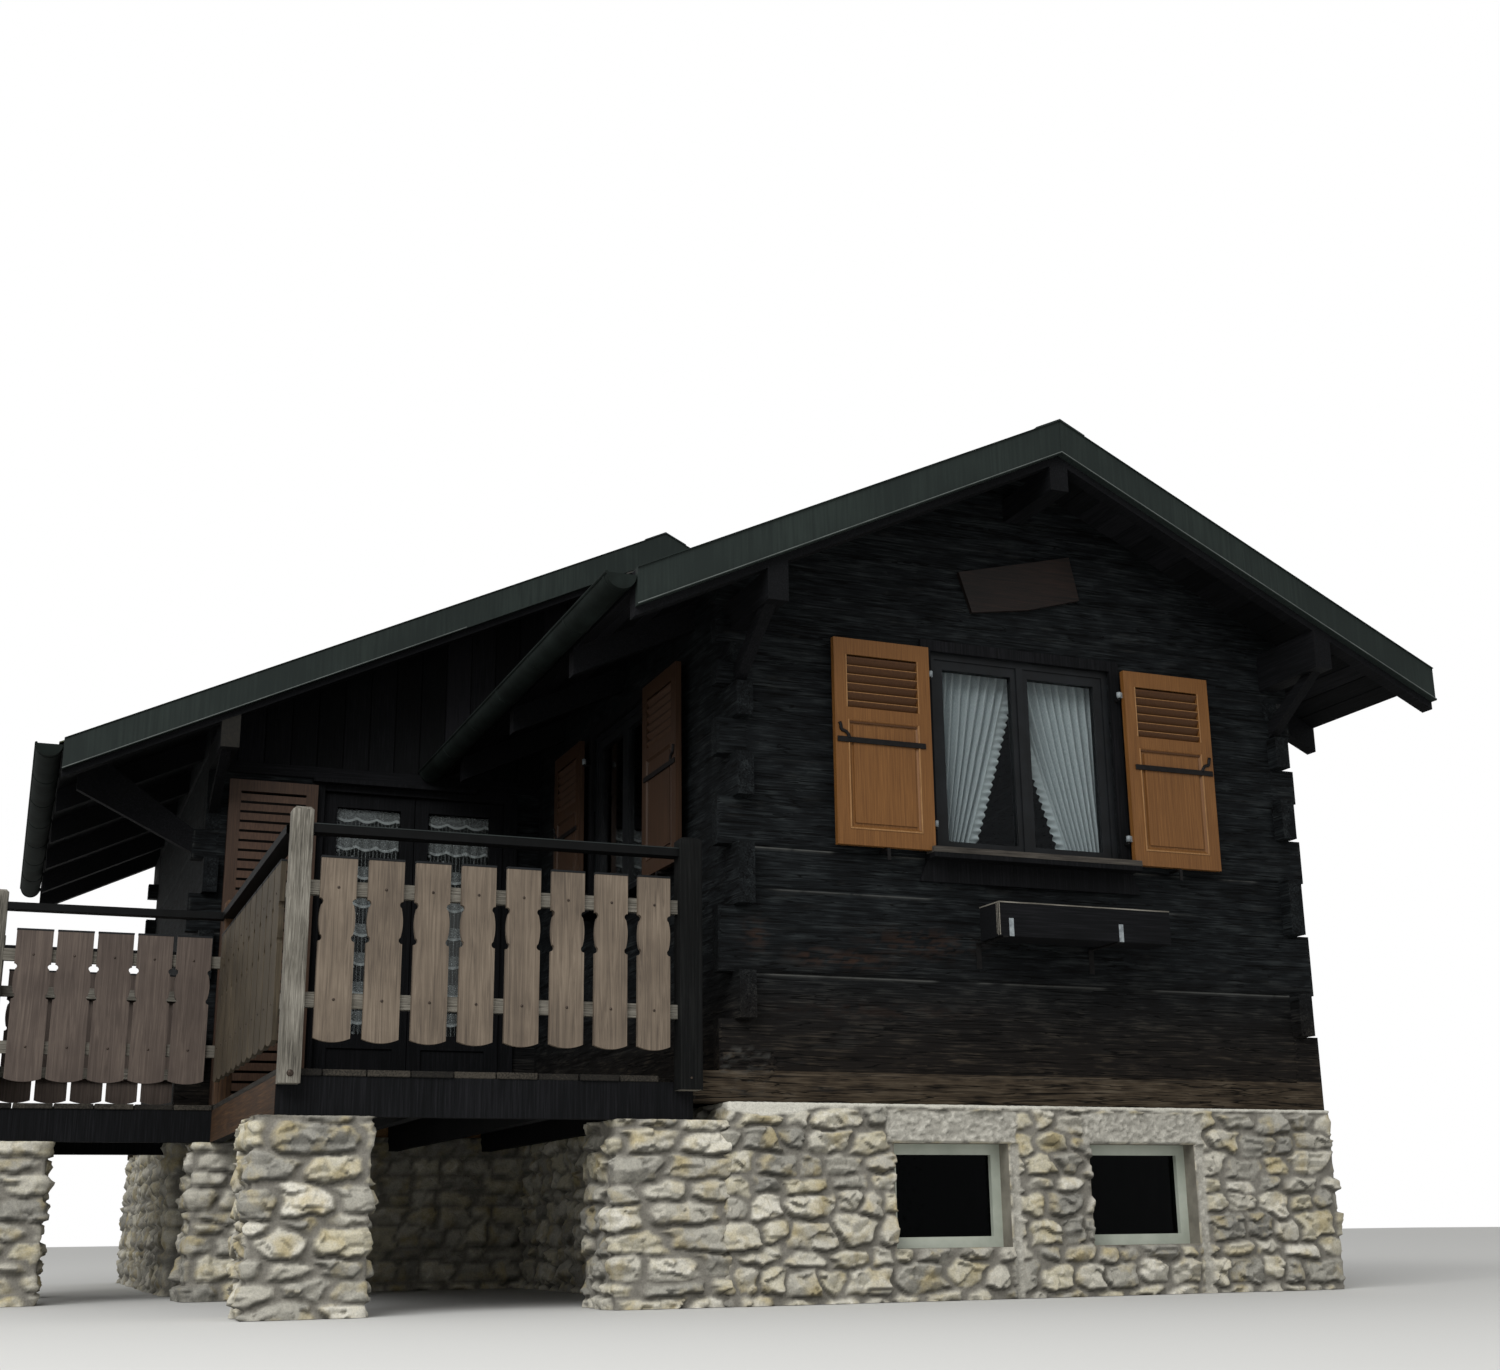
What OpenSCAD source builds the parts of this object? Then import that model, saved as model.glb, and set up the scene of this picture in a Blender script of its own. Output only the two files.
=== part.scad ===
// Small alpine log house on a rubble plinth: a front block with its gable
// to the valley, a wing set back to the left, and a railed deck between them.
// X runs along the front wall, Y into the house and Z up.

/* [House] */
// Width of the front block over its log walls
front_w = 3410; // [3000:10:4000]
// Depth of the front block, from its gable wall to the wall of the wing
front_d = 3600; // [3400:10:4400]
// How far the wing stands out to the left of the front block
wing_out = 2200; // [2000:10:2800]
// Depth of the wing
wing_d = 3800; // [3000:10:5000]

/* [Plinth] */
// Height of the rubble plinth above the lowest ground
plinth_h = 930; // [700:10:1400]
// Thickness of the plinth walls
plinth_t = 350; // [250:10:500]
// How far the plinth stands out past the logs
plinth_proud = 50; // [20:5:80]
// Thickness of the cellar floor
cellar_floor_t = 80; // [50:10:150]
// Width of the clear opening of a cellar window
cellar_win_w = 640; // [400:10:700]
// Height of the clear opening of a cellar window
cellar_win_h = 500; // [300:10:600]
// Height from the head of a cellar window to the top of the plinth
cellar_head = 185; // [150:5:250]

/* [Log walls] */
// Thickness of the hewn logs
wall_t = 90; // [70:5:120]
// Height of the sill beam
sill_h = 152; // [120:2:200]
// Height of the log zone, from the sill beam to the wall plate
log_zone = 2399; // [2300:1:2800]
// How far the log ends stand out past the corners
head_out = 75; // [40:5:110]
// How far the sill beam runs out under the deck
sill_out = 217; // [120:1:300]
// Width of the joint between two logs at the face
seam_w = 16; // [8:1:30]
// Depth of the joint between two logs
seam_d = 9; // [4:1:15]
// How far every second log is hewn back
hewn = 5; // [0:1:10]

/* [Roof] */
// Rise of the roof for each metre of run
rise = 480; // [380:10:600]
// Thickness of the roof's boards and covering, measured upright
roof_t = 75; // [60:5:120]
// Height of the rafters under the roof's boards, measured upright
rafter_h = 155; // [100:5:200]
// Width of the rafters
rafter_w = 80; // [60:5:120]
// Longest distance between the rafters of the wing
rafter_pitch = 1050; // [700:10:1300]
// Overhang of the long eaves past the walls
eave_out = 685; // [400:5:800]
// Overhang of the wing's left eave past its wall
wing_eave_out = 898; // [600:2:1000]
// Overhang of the front gable past its wall
gable_out = 540; // [350:5:700]
// Overhang of the wing's gable past its wall
wing_gable_out = 674; // [450:2:800]
// Height of the barge boards, measured upright
barge_h = 188; // [140:2:210]
// Thickness of the barge boards
barge_t = 35; // [20:1:60]
// Width of each side of the ridge caps
cap_w = 150; // [80:5:250]
// Thickness of the ridge caps
cap_t = 6; // [3:1:12]
// Width of the purlins and plates under the roof
purlin_w = 110; // [80:5:160]
// Height of the purlins
purlin_h = 160; // [120:5:220]
// Outer width of the half-round gutters
gutter_w = 150; // [100:5:200]
// Thickness of the gutter's sheet
gutter_t = 4; // [3:1:8]
// Thickness of the metal cover along the top of the barge boards
cover_t = 4; // [2:1:8]
// Width of the metal cover over the roof's edge
cover_w = 90; // [50:5:140]

/* [Windows] */
// Clear width of the window openings
win_w = 1120; // [900:10:1240]
// Clear height of the window openings
win_h = 1115; // [900:5:1200]
// Height of the window's lower edge above the top of the sill beam
win_up = 1128; // [900:2:1250]
// Middle of the side window behind the front wall
side_win_y = 1760; // [1600:10:1900]
// Width of the members of a window's outer frame
frame_m = 34; // [24:2:60]
// Width of the members of a casement
sash_m = 52; // [40:2:70]
// Depth of the frame members
frame_d = 58; // [50:2:70]
// Depth of the casements
sash_d = 44; // [36:2:48]
// Width of the members of a cellar window
cellar_m = 52; // [40:2:80]
// Thickness of the panes
glass_t = 6; // [4:1:10]
// Width of the casing boards round an opening
casing_w = 60; // [40:2:62]
// Thickness of the casing boards
casing_t = 20; // [12:1:24]

/* [Wing door] */
// Clear width of the doorway
door_w = 1265; // [1100:5:1400]
// Clear height of the doorway above the floor
door_h = 2140; // [1950:5:2180]
// Distance from the doorway to the wall of the front block
door_side = 215; // [180:5:260]
// Thickness of the door leaves
leaf_t = 50; // [36:1:60]
// Width of the uprights of a door leaf
stile_w = 90; // [70:1:110]
// Height of the wooden panel at the foot of a leaf
kick_h = 520; // [300:10:800]
// How far a door leaf opens, in degrees
door_swing = 95; // [60:1:110]

/* [Shutters] */
// Thickness of the shutters
shutter_t = 33; // [24:1:40]
// Width of the shutters' frame members
shutter_stile = 74; // [50:1:90]
// Number of slats in a window shutter
slat_n = 6; // [3:1:9]
// Number of slats in each field of the door shutter
tall_slat_n = 15; // [8:1:20]
// Thickness of a slat
slat_t = 8; // [5:1:12]
// Clearance between a leaf and whatever it moves past
leaf_gap = 7; // [5:1:12]

/* [Deck] */
// Height of the deck and the floor above the plinth
deck_up = 120; // [100:5:150]
// Thickness of the deck's boards
deck_t = 30; // [20:1:45]
// Depth of the open part of the deck, to the railing of the platform
deck_d = 2480; // [2300:10:2800]
// Height of the deck's beams
beam_h = 175; // [120:5:220]
// Width of the deck's beams
beam_w = 60; // [40:5:100]
// Length of the platform beside the wing
side_deck_w = 1250; // [900:10:1600]
// Depth of the platform beside the wing
side_deck_d = 1720; // [1500:10:2000]
// Width of the railing posts
post_w = 90; // [70:5:120]
// Height of the railing above the deck
rail_h = 1084; // [900:2:1200]
// Width of the boards of the front railing
board_w = 161; // [120:1:180]
// Distance between the boards of the front railing
board_pitch = 214; // [190:1:240]
// Thickness of the railing boards
board_t = 25; // [18:1:32]
// Height of the railing boards
board_h = 830; // [600:5:860]
// Radius of the nicks in the boards' edges
notch_r = 16; // [8:1:24]
// How far the boards are cut back at the ends of their waist
waist_in = 12; // [6:1:20]
// How far the boards' feet are rounded
foot_drop = 17; // [8:1:40]
// Width of the stone piers under the deck
pier_w = 495; // [300:5:600]
// Depth of the stone piers under the deck
pier_d = 450; // [300:5:600]

/* [Flower box and name board] */
// Length of the flower box
box_l = 1022; // [700:2:1100]
// Height of the flower box
box_h = 175; // [120:5:220]
// Depth of the flower box
box_d = 200; // [150:5:260]
// Length of the name board
sign_l = 715; // [500:5:800]
// Height of the name board
sign_h = 255; // [180:5:280]

/* [Hidden] */
$fn = 32;
tan_p = rise / 1000;

// Heights of the walls: the joints between the front's logs, as shares of the log zone
seam_share = [0, 0.2, 0.465, 0.658, 0.812, 0.906, 1];
thin_seam_share = 0.377;
head_split = 0.52;
sill_top = plinth_h + sill_h;
plate_z = sill_top + log_zone;
floor_z = plinth_h + deck_up;
seams = [for (s = seam_share) round(sill_top + s * log_zone)];
splits = [for (i = [0:len(seams) - 2]) round(seams[i] + head_split * (seams[i + 1] - seams[i]))];
thin_seam = round(sill_top + thin_seam_share * log_zone);
gable_log = 225;

// Ridges: the two right slopes lie in one plane, so the wing's ridge follows from its left eave
ridge_x = front_w / 2;
ridge_z = plate_z + rafter_h + roof_t + ridge_x * tan_p;
wing_ridge_x = 683;
wing_ridge_z = ridge_z + (ridge_x - wing_ridge_x) * tan_p;
eave_l = -eave_out;
eave_r = front_w + eave_out;
wing_eave_l = -wing_out - wing_eave_out;
eave_z = ridge_z - (ridge_x - eave_l) * tan_p;
wing_eave_z = wing_ridge_z - (wing_ridge_x - wing_eave_l) * tan_p;
wing_plate_z = wing_ridge_z - (wing_ridge_x + wing_out) * tan_p - roof_t - rafter_h;
rear_y = front_d + wing_d;
roof_y0 = -gable_out + barge_t;
wing_roof_y0 = front_d - wing_gable_out + barge_t;
roof_y1 = rear_y + gable_out - barge_t;
beam_line = plate_z - 171;

// Deck
deck_x0 = -wing_out + 40;
deck_y0 = -20;
side_x0 = deck_x0 - side_deck_w;
side_y1 = deck_d + side_deck_d;
beam_z = floor_z - deck_t - beam_h;

// Openings in the walls
win_z = sill_top + win_up;
win_x = ridge_x;
door_x1 = -door_side;
door_x0 = door_x1 - door_w;
door_z1 = floor_z + door_h;
cellar_z1 = plinth_h - cellar_head;
cellar_z0 = cellar_z1 - cellar_win_h;
cellar_gap = 1115;
cellar_x = [ridge_x - cellar_gap / 2 - 12, ridge_x + cellar_gap / 2 - 12];
rear_win_x = wing_ridge_x;
right_win_y = front_d + wing_d / 2;

// Shutters: the axis stands off the wall, and a leaf laid open is the closed one turned over it
axis_off = 60;
axis_gap = 20;
leaf_in = 25;
shut_w = (win_w - leaf_gap) / 2 - 1;
shut_h = win_h - 15;
shut_z = win_z + 8;
shut_axis = axis_gap + 8;
tall_w = 560;
tall_h = door_h - 30;
tall_z = floor_z + 20;
tall_axis_x = door_x0 - shut_axis + 16;
pin_r = 5;
eye_r = 11;
eye_gap = 0.6;

// The origin is at the middle of all that the house covers: from the boards at the platform's end
// to the right eave, and from one gable's overhang to the other's
end_rail_x = side_x0 + 20;
off_x = (end_rail_x - board_t + eave_r) / 2;
off_y = rear_y / 2;
module place() translate([-off_x, -off_y, 0]) children();

module box(x0, x1, y0, y1, z0, z1) translate([x0, y0, z0]) cube([x1 - x0, y1 - y0, z1 - z0]);
// A flat outline in X and Z, carried along Y
module along_y(y0, y1) translate([0, y1, 0]) rotate([90, 0, 0]) linear_extrude(y1 - y0) children();
// A flat outline in Y and Z, carried along X
module along_x(x0, x1) translate([x0, 0, 0]) rotate([90, 0, 90]) linear_extrude(x1 - x0) children();

// Everything below the roof's underside
module under_front() along_y(-2 * gable_out, front_d + wall_t) polygon([
    [2 * eave_l, -10],
    [2 * eave_l, ridge_z - roof_t - (ridge_x - 2 * eave_l) * tan_p],
    [ridge_x, ridge_z - roof_t],
    [2 * eave_r, ridge_z - roof_t - (2 * eave_r - ridge_x) * tan_p],
    [2 * eave_r, -10]]);
module under_wing(y0 = front_d - wing_gable_out) along_y(y0, rear_y + gable_out) polygon([
    [2 * wing_eave_l, -10],
    [2 * wing_eave_l, wing_ridge_z - roof_t - (wing_ridge_x - 2 * wing_eave_l) * tan_p],
    [wing_ridge_x, wing_ridge_z - roof_t],
    [2 * eave_r, ridge_z - roof_t - (2 * eave_r - ridge_x) * tan_p],
    [2 * eave_r, -10]]);

// Section of a log wall: the outer face steps in at each joint, and every second log is hewn back
function log_face(zs, z1) = [for (i = [0:len(zs) - 1])
    let (set = hewn * (i % 2), top = i < len(zs) - 1 ? zs[i + 1] : z1)
    each [[set, i == 0 ? zs[i] : zs[i] + seam_w / 2], [set, i < len(zs) - 1 ? top - seam_w / 2 : top],
        if (i < len(zs) - 1) [seam_d + set, top]]];
module log_section(zs, z1) polygon(concat(log_face(zs, z1), [[wall_t, z1], [wall_t, zs[0]]]));
gable_seams = [for (z = [plate_z + gable_log:gable_log:wing_ridge_z - roof_t - 60]) z];
front_seams = concat([plinth_h], [seams[0], seams[1], thin_seam],
    [for (i = [2:len(seams) - 1]) seams[i]], gable_seams);
side_seams = concat([plinth_h], splits);
// The bands of height in which the ends of the front's logs, or those of the side walls, run through
x_bands = concat([[plinth_h, sill_top]], [for (i = [0:len(splits) - 1]) [seams[i], splits[i]]],
    [[plate_z, plate_z + rafter_h + wall_t]]);
y_bands = [for (i = [0:len(splits) - 1]) [splits[i], seams[i + 1]]];
// The ends of the side walls' logs stand out only below the foot of the brace
function out_below(z) = [for (b = y_bands) if (b[1] <= z) b];
module bands_x(list, x0, x1, y0) for (b = list) box(x0, x1, y0, y0 + wall_t, b[0], b[1]);
module bands_y(list, x0, y0, y1) for (b = list) box(x0, x0 + wall_t, y0, y1, b[0], b[1]);

module win_hole_x(x, y0) box(x - win_w / 2, x + win_w / 2, y0 - 100, y0 + wall_t + 100, win_z, win_z + win_h);
module win_hole_y(y, x0) box(x0 - 100, x0 + wall_t + 100, y - win_w / 2, y + win_w / 2, win_z, win_z + win_h);

// Plinth
module plinth_front() color("darkkhaki") difference() {
    box(-plinth_proud, front_w + plinth_proud, -plinth_proud, plinth_t - plinth_proud, 0, plinth_h);
    for (x = cellar_x)
        box(x - cellar_win_w / 2, x + cellar_win_w / 2, -200, plinth_t, cellar_z0, cellar_z1);
}
module plinth_left() color("darkkhaki") union() {
    box(-plinth_proud, plinth_t - plinth_proud, plinth_t - plinth_proud, front_d - plinth_proud, 0, plinth_h);
    box(-wing_out - plinth_proud, plinth_t - plinth_proud, front_d - plinth_proud,
        front_d + plinth_t - plinth_proud, 0, plinth_h);
    box(-wing_out - plinth_proud, -wing_out + plinth_t - plinth_proud, front_d + plinth_t - plinth_proud,
        rear_y - plinth_t + plinth_proud, 0, plinth_h);
}
module plinth_right() color("darkkhaki")
    box(front_w - plinth_t + plinth_proud, front_w + plinth_proud, plinth_t - plinth_proud,
        rear_y - plinth_t + plinth_proud, 0, plinth_h);
module plinth_rear() color("darkkhaki")
    box(-wing_out - plinth_proud, front_w + plinth_proud, rear_y - plinth_t + plinth_proud,
        rear_y + plinth_proud, 0, plinth_h);
module cellar_floor() color("gray") union() {
    box(plinth_t - plinth_proud, front_w - plinth_t + plinth_proud, plinth_t - plinth_proud,
        rear_y - plinth_t + plinth_proud, 0, cellar_floor_t);
    box(plinth_t - plinth_proud - wing_out, plinth_t - plinth_proud, front_d + plinth_t - plinth_proud,
        rear_y - plinth_t + plinth_proud, 0, cellar_floor_t);
}
module main_floor() color("peru") union() {
    box(wall_t, front_w - wall_t, wall_t, rear_y - wall_t, plinth_h, floor_z);
    box(wall_t - wing_out, wall_t, front_d + wall_t, rear_y - wall_t, plinth_h, floor_z);
    box(door_x0, door_x1, front_d, front_d + wall_t, plinth_h, floor_z);
}

// Log walls
module front_wall() color([0.13, 0.14, 0.15]) difference() {
    intersection() {
        union() {
            along_x(wall_t, front_w - wall_t) log_section(front_seams, ridge_z);
            bands_x(x_bands, -head_out, wall_t, 0);
            bands_x(x_bands, front_w - wall_t, front_w + head_out, 0);
            box(-sill_out, wall_t, 0, wall_t, plinth_h, sill_top);
        }
        under_front();
    }
    win_hole_x(win_x, 0);
    purlin_bodies();
}
module side_profile(top = plate_z) log_section(side_seams, top + rafter_h + wall_t);
module left_wall() color([0.13, 0.14, 0.15]) difference() {
    intersection() {
        union() {
            multmatrix([[0, 1, 0, 0], [1, 0, 0, 0], [0, 0, 1, 0], [0, 0, 0, 1]])
                along_x(wall_t, front_d) side_profile();
            bands_y(y_bands, 0, 0, wall_t);
            bands_y(out_below(foot_z), 0, -head_out, wall_t);
        }
        under_front();
    }
    win_hole_y(side_win_y, 0);
    purlin_bodies();
    rafter_bodies();
}
module right_wall() color([0.13, 0.14, 0.15]) difference() {
    intersection() {
        union() {
            translate([front_w, 0, 0]) rotate([0, 0, 90]) along_x(wall_t, rear_y - wall_t)
                side_profile();
            bands_y(y_bands, front_w - wall_t, 0, wall_t);
            bands_y(y_bands, front_w - wall_t, rear_y - wall_t, rear_y);
            bands_y(out_below(foot_z), front_w - wall_t, -head_out, wall_t);
            bands_y(out_below(foot_z), front_w - wall_t, rear_y - wall_t, rear_y + head_out);
        }
        union() {
            under_front();
            under_wing(front_d);
        }
    }
    win_hole_y(right_win_y, front_w - wall_t);
    purlin_bodies();
    rafter_bodies();
}
module wing_wall_left() color([0.13, 0.14, 0.15]) difference() {
    union() {
        translate([0, front_d, 0]) along_x(wall_t - wing_out, door_x0) log_section(wing_seams, beam_line);
        bands_x(concat(x_low, x_mid), -wing_out, wall_t - wing_out, front_d);
        bands_x([for (b = x_mid) if (b[0] < bracket_z) b], -wing_out - head_out, -wing_out, front_d);
    }
    purlin_bodies();
}
wing_seams = [for (z = front_seams) if (z < beam_line - 40) z];
x_low = [[plinth_h, sill_top]];
x_mid = [for (b = x_bands) if (b[0] >= sill_top && b[0] < wing_plate_z - purlin_h) b];
y_mid = [for (b = y_bands) if (b[0] < beam_line - 1) [b[0], min(b[1], beam_line)]];
module wing_wall_right() color([0.13, 0.14, 0.15])
    translate([0, front_d, 0]) along_x(door_x1, wall_t) log_section(wing_seams, beam_line);
module wing_gable() color([0.2, 0.16, 0.13]) difference() {
    along_y(front_d, front_d + wall_t) polygon([
        [-wing_out, beam_line],
        [-wing_out, wing_plate_z + rafter_h],
        [wing_ridge_x, wing_ridge_z - roof_t],
        [ridge_x, ridge_z - roof_t],
        [wall_t, plate_z + rafter_h + wall_t * tan_p],
        [wall_t, beam_line],
        [door_x1, beam_line],
        [door_x1, door_z1],
        [door_x0, door_z1],
        [door_x0, beam_line]]);
    purlin_bodies();
}
module wing_left_wall() color([0.13, 0.14, 0.15]) difference() {
    intersection() {
        union() {
            multmatrix([[0, 1, 0, -wing_out], [1, 0, 0, 0], [0, 0, 1, 0], [0, 0, 0, 1]])
                along_x(front_d + wall_t, rear_y - wall_t) side_profile(wing_plate_z);
            bands_y(y_mid, -wing_out, front_d, front_d + wall_t);
            bands_y(y_bands, -wing_out, rear_y - wall_t, rear_y);
            bands_y(out_below(wing_foot_z), -wing_out, front_d - head_out, front_d + wall_t);
            bands_y(out_below(wing_foot_z), -wing_out, rear_y - wall_t, rear_y + head_out);
        }
        under_wing();
    }
    purlin_bodies();
    rafter_bodies();
}
module rear_wall() color([0.13, 0.14, 0.15]) difference() {
    intersection() {
        union() {
            translate([0, rear_y, 0]) mirror([0, 1, 0]) along_x(wall_t - wing_out, front_w - wall_t)
                log_section(front_seams, wing_ridge_z);
            bands_x(concat(x_low, x_mid), -wing_out - head_out, wall_t - wing_out, rear_y - wall_t);
            bands_x(x_bands, front_w - wall_t, front_w + head_out, rear_y - wall_t);
        }
        under_wing();
    }
    win_hole_x(rear_win_x, rear_y - wall_t);
    purlin_bodies();
}

// Roof
module slope(x0, z0, x1, z1) polygon([[x0, z0], [x1, z1], [x1, z1 - roof_t], [x0, z0 - roof_t]]);
module wing_right_slab() along_y(wing_roof_y0, roof_y1) slope(wing_ridge_x, wing_ridge_z, eave_r, eave_z);
module front_left_slab() along_y(roof_y0, front_d) slope(eave_l, eave_z, ridge_x, ridge_z);
module front_roof_left() color([0.25, 0.26, 0.25]) difference() {
    front_left_slab();
    wing_right_slab();
}
module front_roof_right() color([0.25, 0.26, 0.25])
    along_y(roof_y0, wing_roof_y0) slope(ridge_x, ridge_z, eave_r, eave_z);
module wing_roof_left() color([0.25, 0.26, 0.25])
    along_y(wing_roof_y0, roof_y1) slope(wing_eave_l, wing_eave_z, wing_ridge_x, wing_ridge_z);
module wing_roof_right() color([0.25, 0.26, 0.25]) wing_right_slab();
module barge_band(points, h) polygon(concat(points, [for (i = [len(points) - 1:-1:0]) points[i] - [0, h]]));
// A barge board clad in metal: the board, a drip lip along its foot and a cover that laps over the roof.
// Its face is at y, and out is -1 where the face looks to the front
module barge(y, out, points) {
    lift = [for (q = points) q + [0, cover_t]];
    lip = [for (q = points) q - [0, barge_h - lip_h]];
    front = out < 0;
    along_y(front ? y : y - barge_t, front ? y + barge_t : y) barge_band(points, barge_h);
    along_y(front ? y - lip_t : y, front ? y : y + lip_t) barge_band(lip, lip_h);
    along_y(front ? y - lip_t : y - cover_w, front ? y + cover_w : y + lip_t) barge_band(lift, cover_t);
}
lip_t = 9;
lip_h = 8;
front_line = [[eave_l, eave_z], [ridge_x, ridge_z], [eave_r, eave_z]];
wing_line = [[wing_eave_l, wing_eave_z], [wing_ridge_x, wing_ridge_z], [eave_r, eave_z]];
module barge_boards() color([0.2, 0.22, 0.2]) union() {
    barge(roof_y0 - barge_t, -1, front_line);
    difference() {
        barge(wing_roof_y0 - barge_t, -1, [wing_line[0], wing_line[1], front_line[1]]);
        along_y(roof_y0, front_d) barge_band([[0, ridge_z - ridge_x * tan_p], [ridge_x, ridge_z]], 2 * barge_h);
        along_y(roof_y0, front_d) barge_band([[ridge_x, ridge_z + 2 * cap_w], [eave_r, ridge_z + 2 * cap_w]],
            2 * cap_w + 2 * barge_h);
    }
    barge(roof_y1 + barge_t, 1, wing_line);
}
module ridge_cap(x, z, y0, y1) along_y(y0, y1) barge_band([
    [x - cap_w, z - cap_w * tan_p + cover_t + cap_t],
    [x, z + cover_t + cap_t],
    [x + cap_w, z - cap_w * tan_p + cover_t + cap_t]], cap_t);
module ridge_caps() color([0.2, 0.22, 0.2]) union() {
    ridge_cap(ridge_x, ridge_z, roof_y0 - barge_t - lip_t, wing_roof_y0 - barge_t - lip_t);
    ridge_cap(wing_ridge_x, wing_ridge_z, wing_roof_y0 - barge_t - lip_t, roof_y1 + barge_t + lip_t);
}

// Rafters in pairs: one pair behind each barge, the others over the rooms
module rafter_pair(y, line) along_y(y, y + rafter_w) barge_band([for (q = line) q - [0, roof_t]], rafter_h);
// Those of the front block stand clear of the side window's shutters, which swing under the eave
side_swing = side_win_y - win_w / 2 - shut_axis - axis_gap - shut_w;
front_rafter_y = [roof_y0, side_swing - rafter_w - leaf_gap, side_win_y - rafter_w / 2, wing_roof_y0];
wing_rafter_0 = front_d + wall_t + rafter_pitch / 4;
wing_rafter_1 = rear_y - wall_t - rafter_pitch / 4 - rafter_w;
wing_rafter_n = ceil((wing_rafter_1 - wing_rafter_0) / rafter_pitch);
module rafter_bodies() {
    for (y = front_rafter_y) rafter_pair(y, front_line);
    difference() {
        rafter_pair(wing_roof_y0, wing_line);
        along_y(0, front_d) slope(eave_l, eave_z, ridge_x, ridge_z);
    }
    for (i = [0:wing_rafter_n])
        rafter_pair(round(wing_rafter_0 + i * (wing_rafter_1 - wing_rafter_0) / wing_rafter_n), wing_line);
    rafter_pair(roof_y1 - rafter_w, wing_line);
}
module rafters() color([0.16, 0.14, 0.13]) rafter_bodies();

// Purlins, with their tops cut to the slope of the rafters
purlin_top = roof_t + rafter_h;
module ridge_purlin_end(x, z) polygon([
    [x - purlin_w / 2, z - purlin_top - purlin_w / 2 * tan_p],
    [x, z - purlin_top],
    [x + purlin_w / 2, z - purlin_top - purlin_w / 2 * tan_p],
    [x + purlin_w / 2, z - purlin_top - purlin_h],
    [x - purlin_w / 2, z - purlin_top - purlin_h]]);
// A wall plate that runs out under the roof: x is its outer side, dir the way to the ridge
module plate_end(x, z, dir) polygon([
    [x, z],
    [x + dir * purlin_w, z + purlin_w * tan_p],
    [x + dir * purlin_w, z - purlin_h],
    [x, z - purlin_h]]);
module purlin_bodies() {
    along_y(roof_y0, roof_y1) ridge_purlin_end(ridge_x, ridge_z);
    along_y(wing_roof_y0, roof_y1) ridge_purlin_end(wing_ridge_x, wing_ridge_z);
    along_y(roof_y0, wall_t) plate_end(0, plate_z, 1);
    along_y(roof_y0, wall_t) plate_end(front_w, plate_z, -1);
    along_y(wing_roof_y0, front_d + wall_t) plate_end(-wing_out, wing_plate_z, 1);
    along_y(rear_y - wall_t, roof_y1) plate_end(-wing_out, wing_plate_z, 1);
    along_y(rear_y - wall_t, roof_y1) plate_end(front_w, plate_z, -1);
}
module purlins() color([0.16, 0.14, 0.13]) purlin_bodies();
module braces() color([0.16, 0.14, 0.13]) union() {
    for (x = [wall_t / 2, front_w - wall_t / 2])
        brace(x, 0, plate_z - purlin_h, gable_out - barge_t);
    brace(wall_t / 2 - wing_out, front_d, wing_plate_z - purlin_h, wing_gable_out - barge_t);
    eave_bracket();
}
// A wide bracket under the wing's left eave, seated on a log end
bracket_out = 790;
bracket_tip = 150;
bracket_z = seams[3] + 40;
bracket_rise = 0.5;
module eave_bracket() along_y(front_d, front_d + brace_t) polygon([
    [-wing_out - head_out, bracket_z],
    [-wing_out - head_out, splits[3]],
    [-wing_out - bracket_out + bracket_tip, wing_soffit(-wing_out - bracket_out + bracket_tip)],
    [-wing_out - bracket_out, wing_soffit(-wing_out - bracket_out)],
    [-wing_out - bracket_out, bracket_z + bracket_rise * (bracket_out - head_out)]]);
function wing_soffit(x) = wing_ridge_z - roof_t - (wing_ridge_x - x) * tan_p;
brace_t = 60;
brace_w = 70;
brace_drop = 285;
foot_z = plate_z - purlin_h - brace_drop;
wing_foot_z = wing_plate_z - purlin_h - brace_drop;
module brace(x, y, z, out) translate([x - brace_t / 2, 0, 0]) along_x(0, brace_t) polygon([
    [y - out + 80, z],
    [y - out + 80 + brace_w * 1.3, z],
    [y, z - brace_drop + brace_w * 1.3],
    [y, z - brace_drop]]);

// Gutters: a half-round trough with a rolled rim, closed ends, rings round it and straps to the eave
bead_r = 8;
ring_w = 24;
ring_pitch = 700;
strap_in = 40;
gutter_r = gutter_w / 2;
module lower_half(r, fn) difference() {
    circle(r = r, $fn = fn);
    translate([-gutter_w, 0]) square([2 * gutter_w, gutter_w]);
}
module gutter(x, z, y0, y1) translate([x - gutter_r - gutter_t, 0, z]) {
    along_y(y0, y1) difference() {
        lower_half(gutter_r, 48);
        circle(r = gutter_r - gutter_t, $fn = 48);
    }
    along_y(y0, y1) translate([-gutter_r, 0]) circle(r = bead_r, $fn = 24);
    for (y = [y0, y1 - gutter_t]) along_y(y, y + gutter_t) lower_half(gutter_r - gutter_t / 2, 48);
    n = round((y1 - y0) / ring_pitch);
    for (i = [0:n]) let (y = y0 + strap_in + i * (y1 - y0 - 2 * strap_in - ring_w) / n) {
        along_y(y, y + ring_w) difference() {
            lower_half(gutter_r + 3, 48);
            circle(r = gutter_r - gutter_t / 2, $fn = 48);
        }
        box(gutter_r - gutter_t, gutter_r + gutter_t, y, y + ring_w, -25, -gutter_t);
    }
}
module gutters() color([0.12, 0.18, 0.15]) union() {
    gutter(eave_l, eave_z - 40, roof_y0 - barge_t, front_d);
    gutter(wing_eave_l, wing_eave_z - 40, wing_roof_y0 - barge_t, roof_y1 + barge_t);
}

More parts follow.
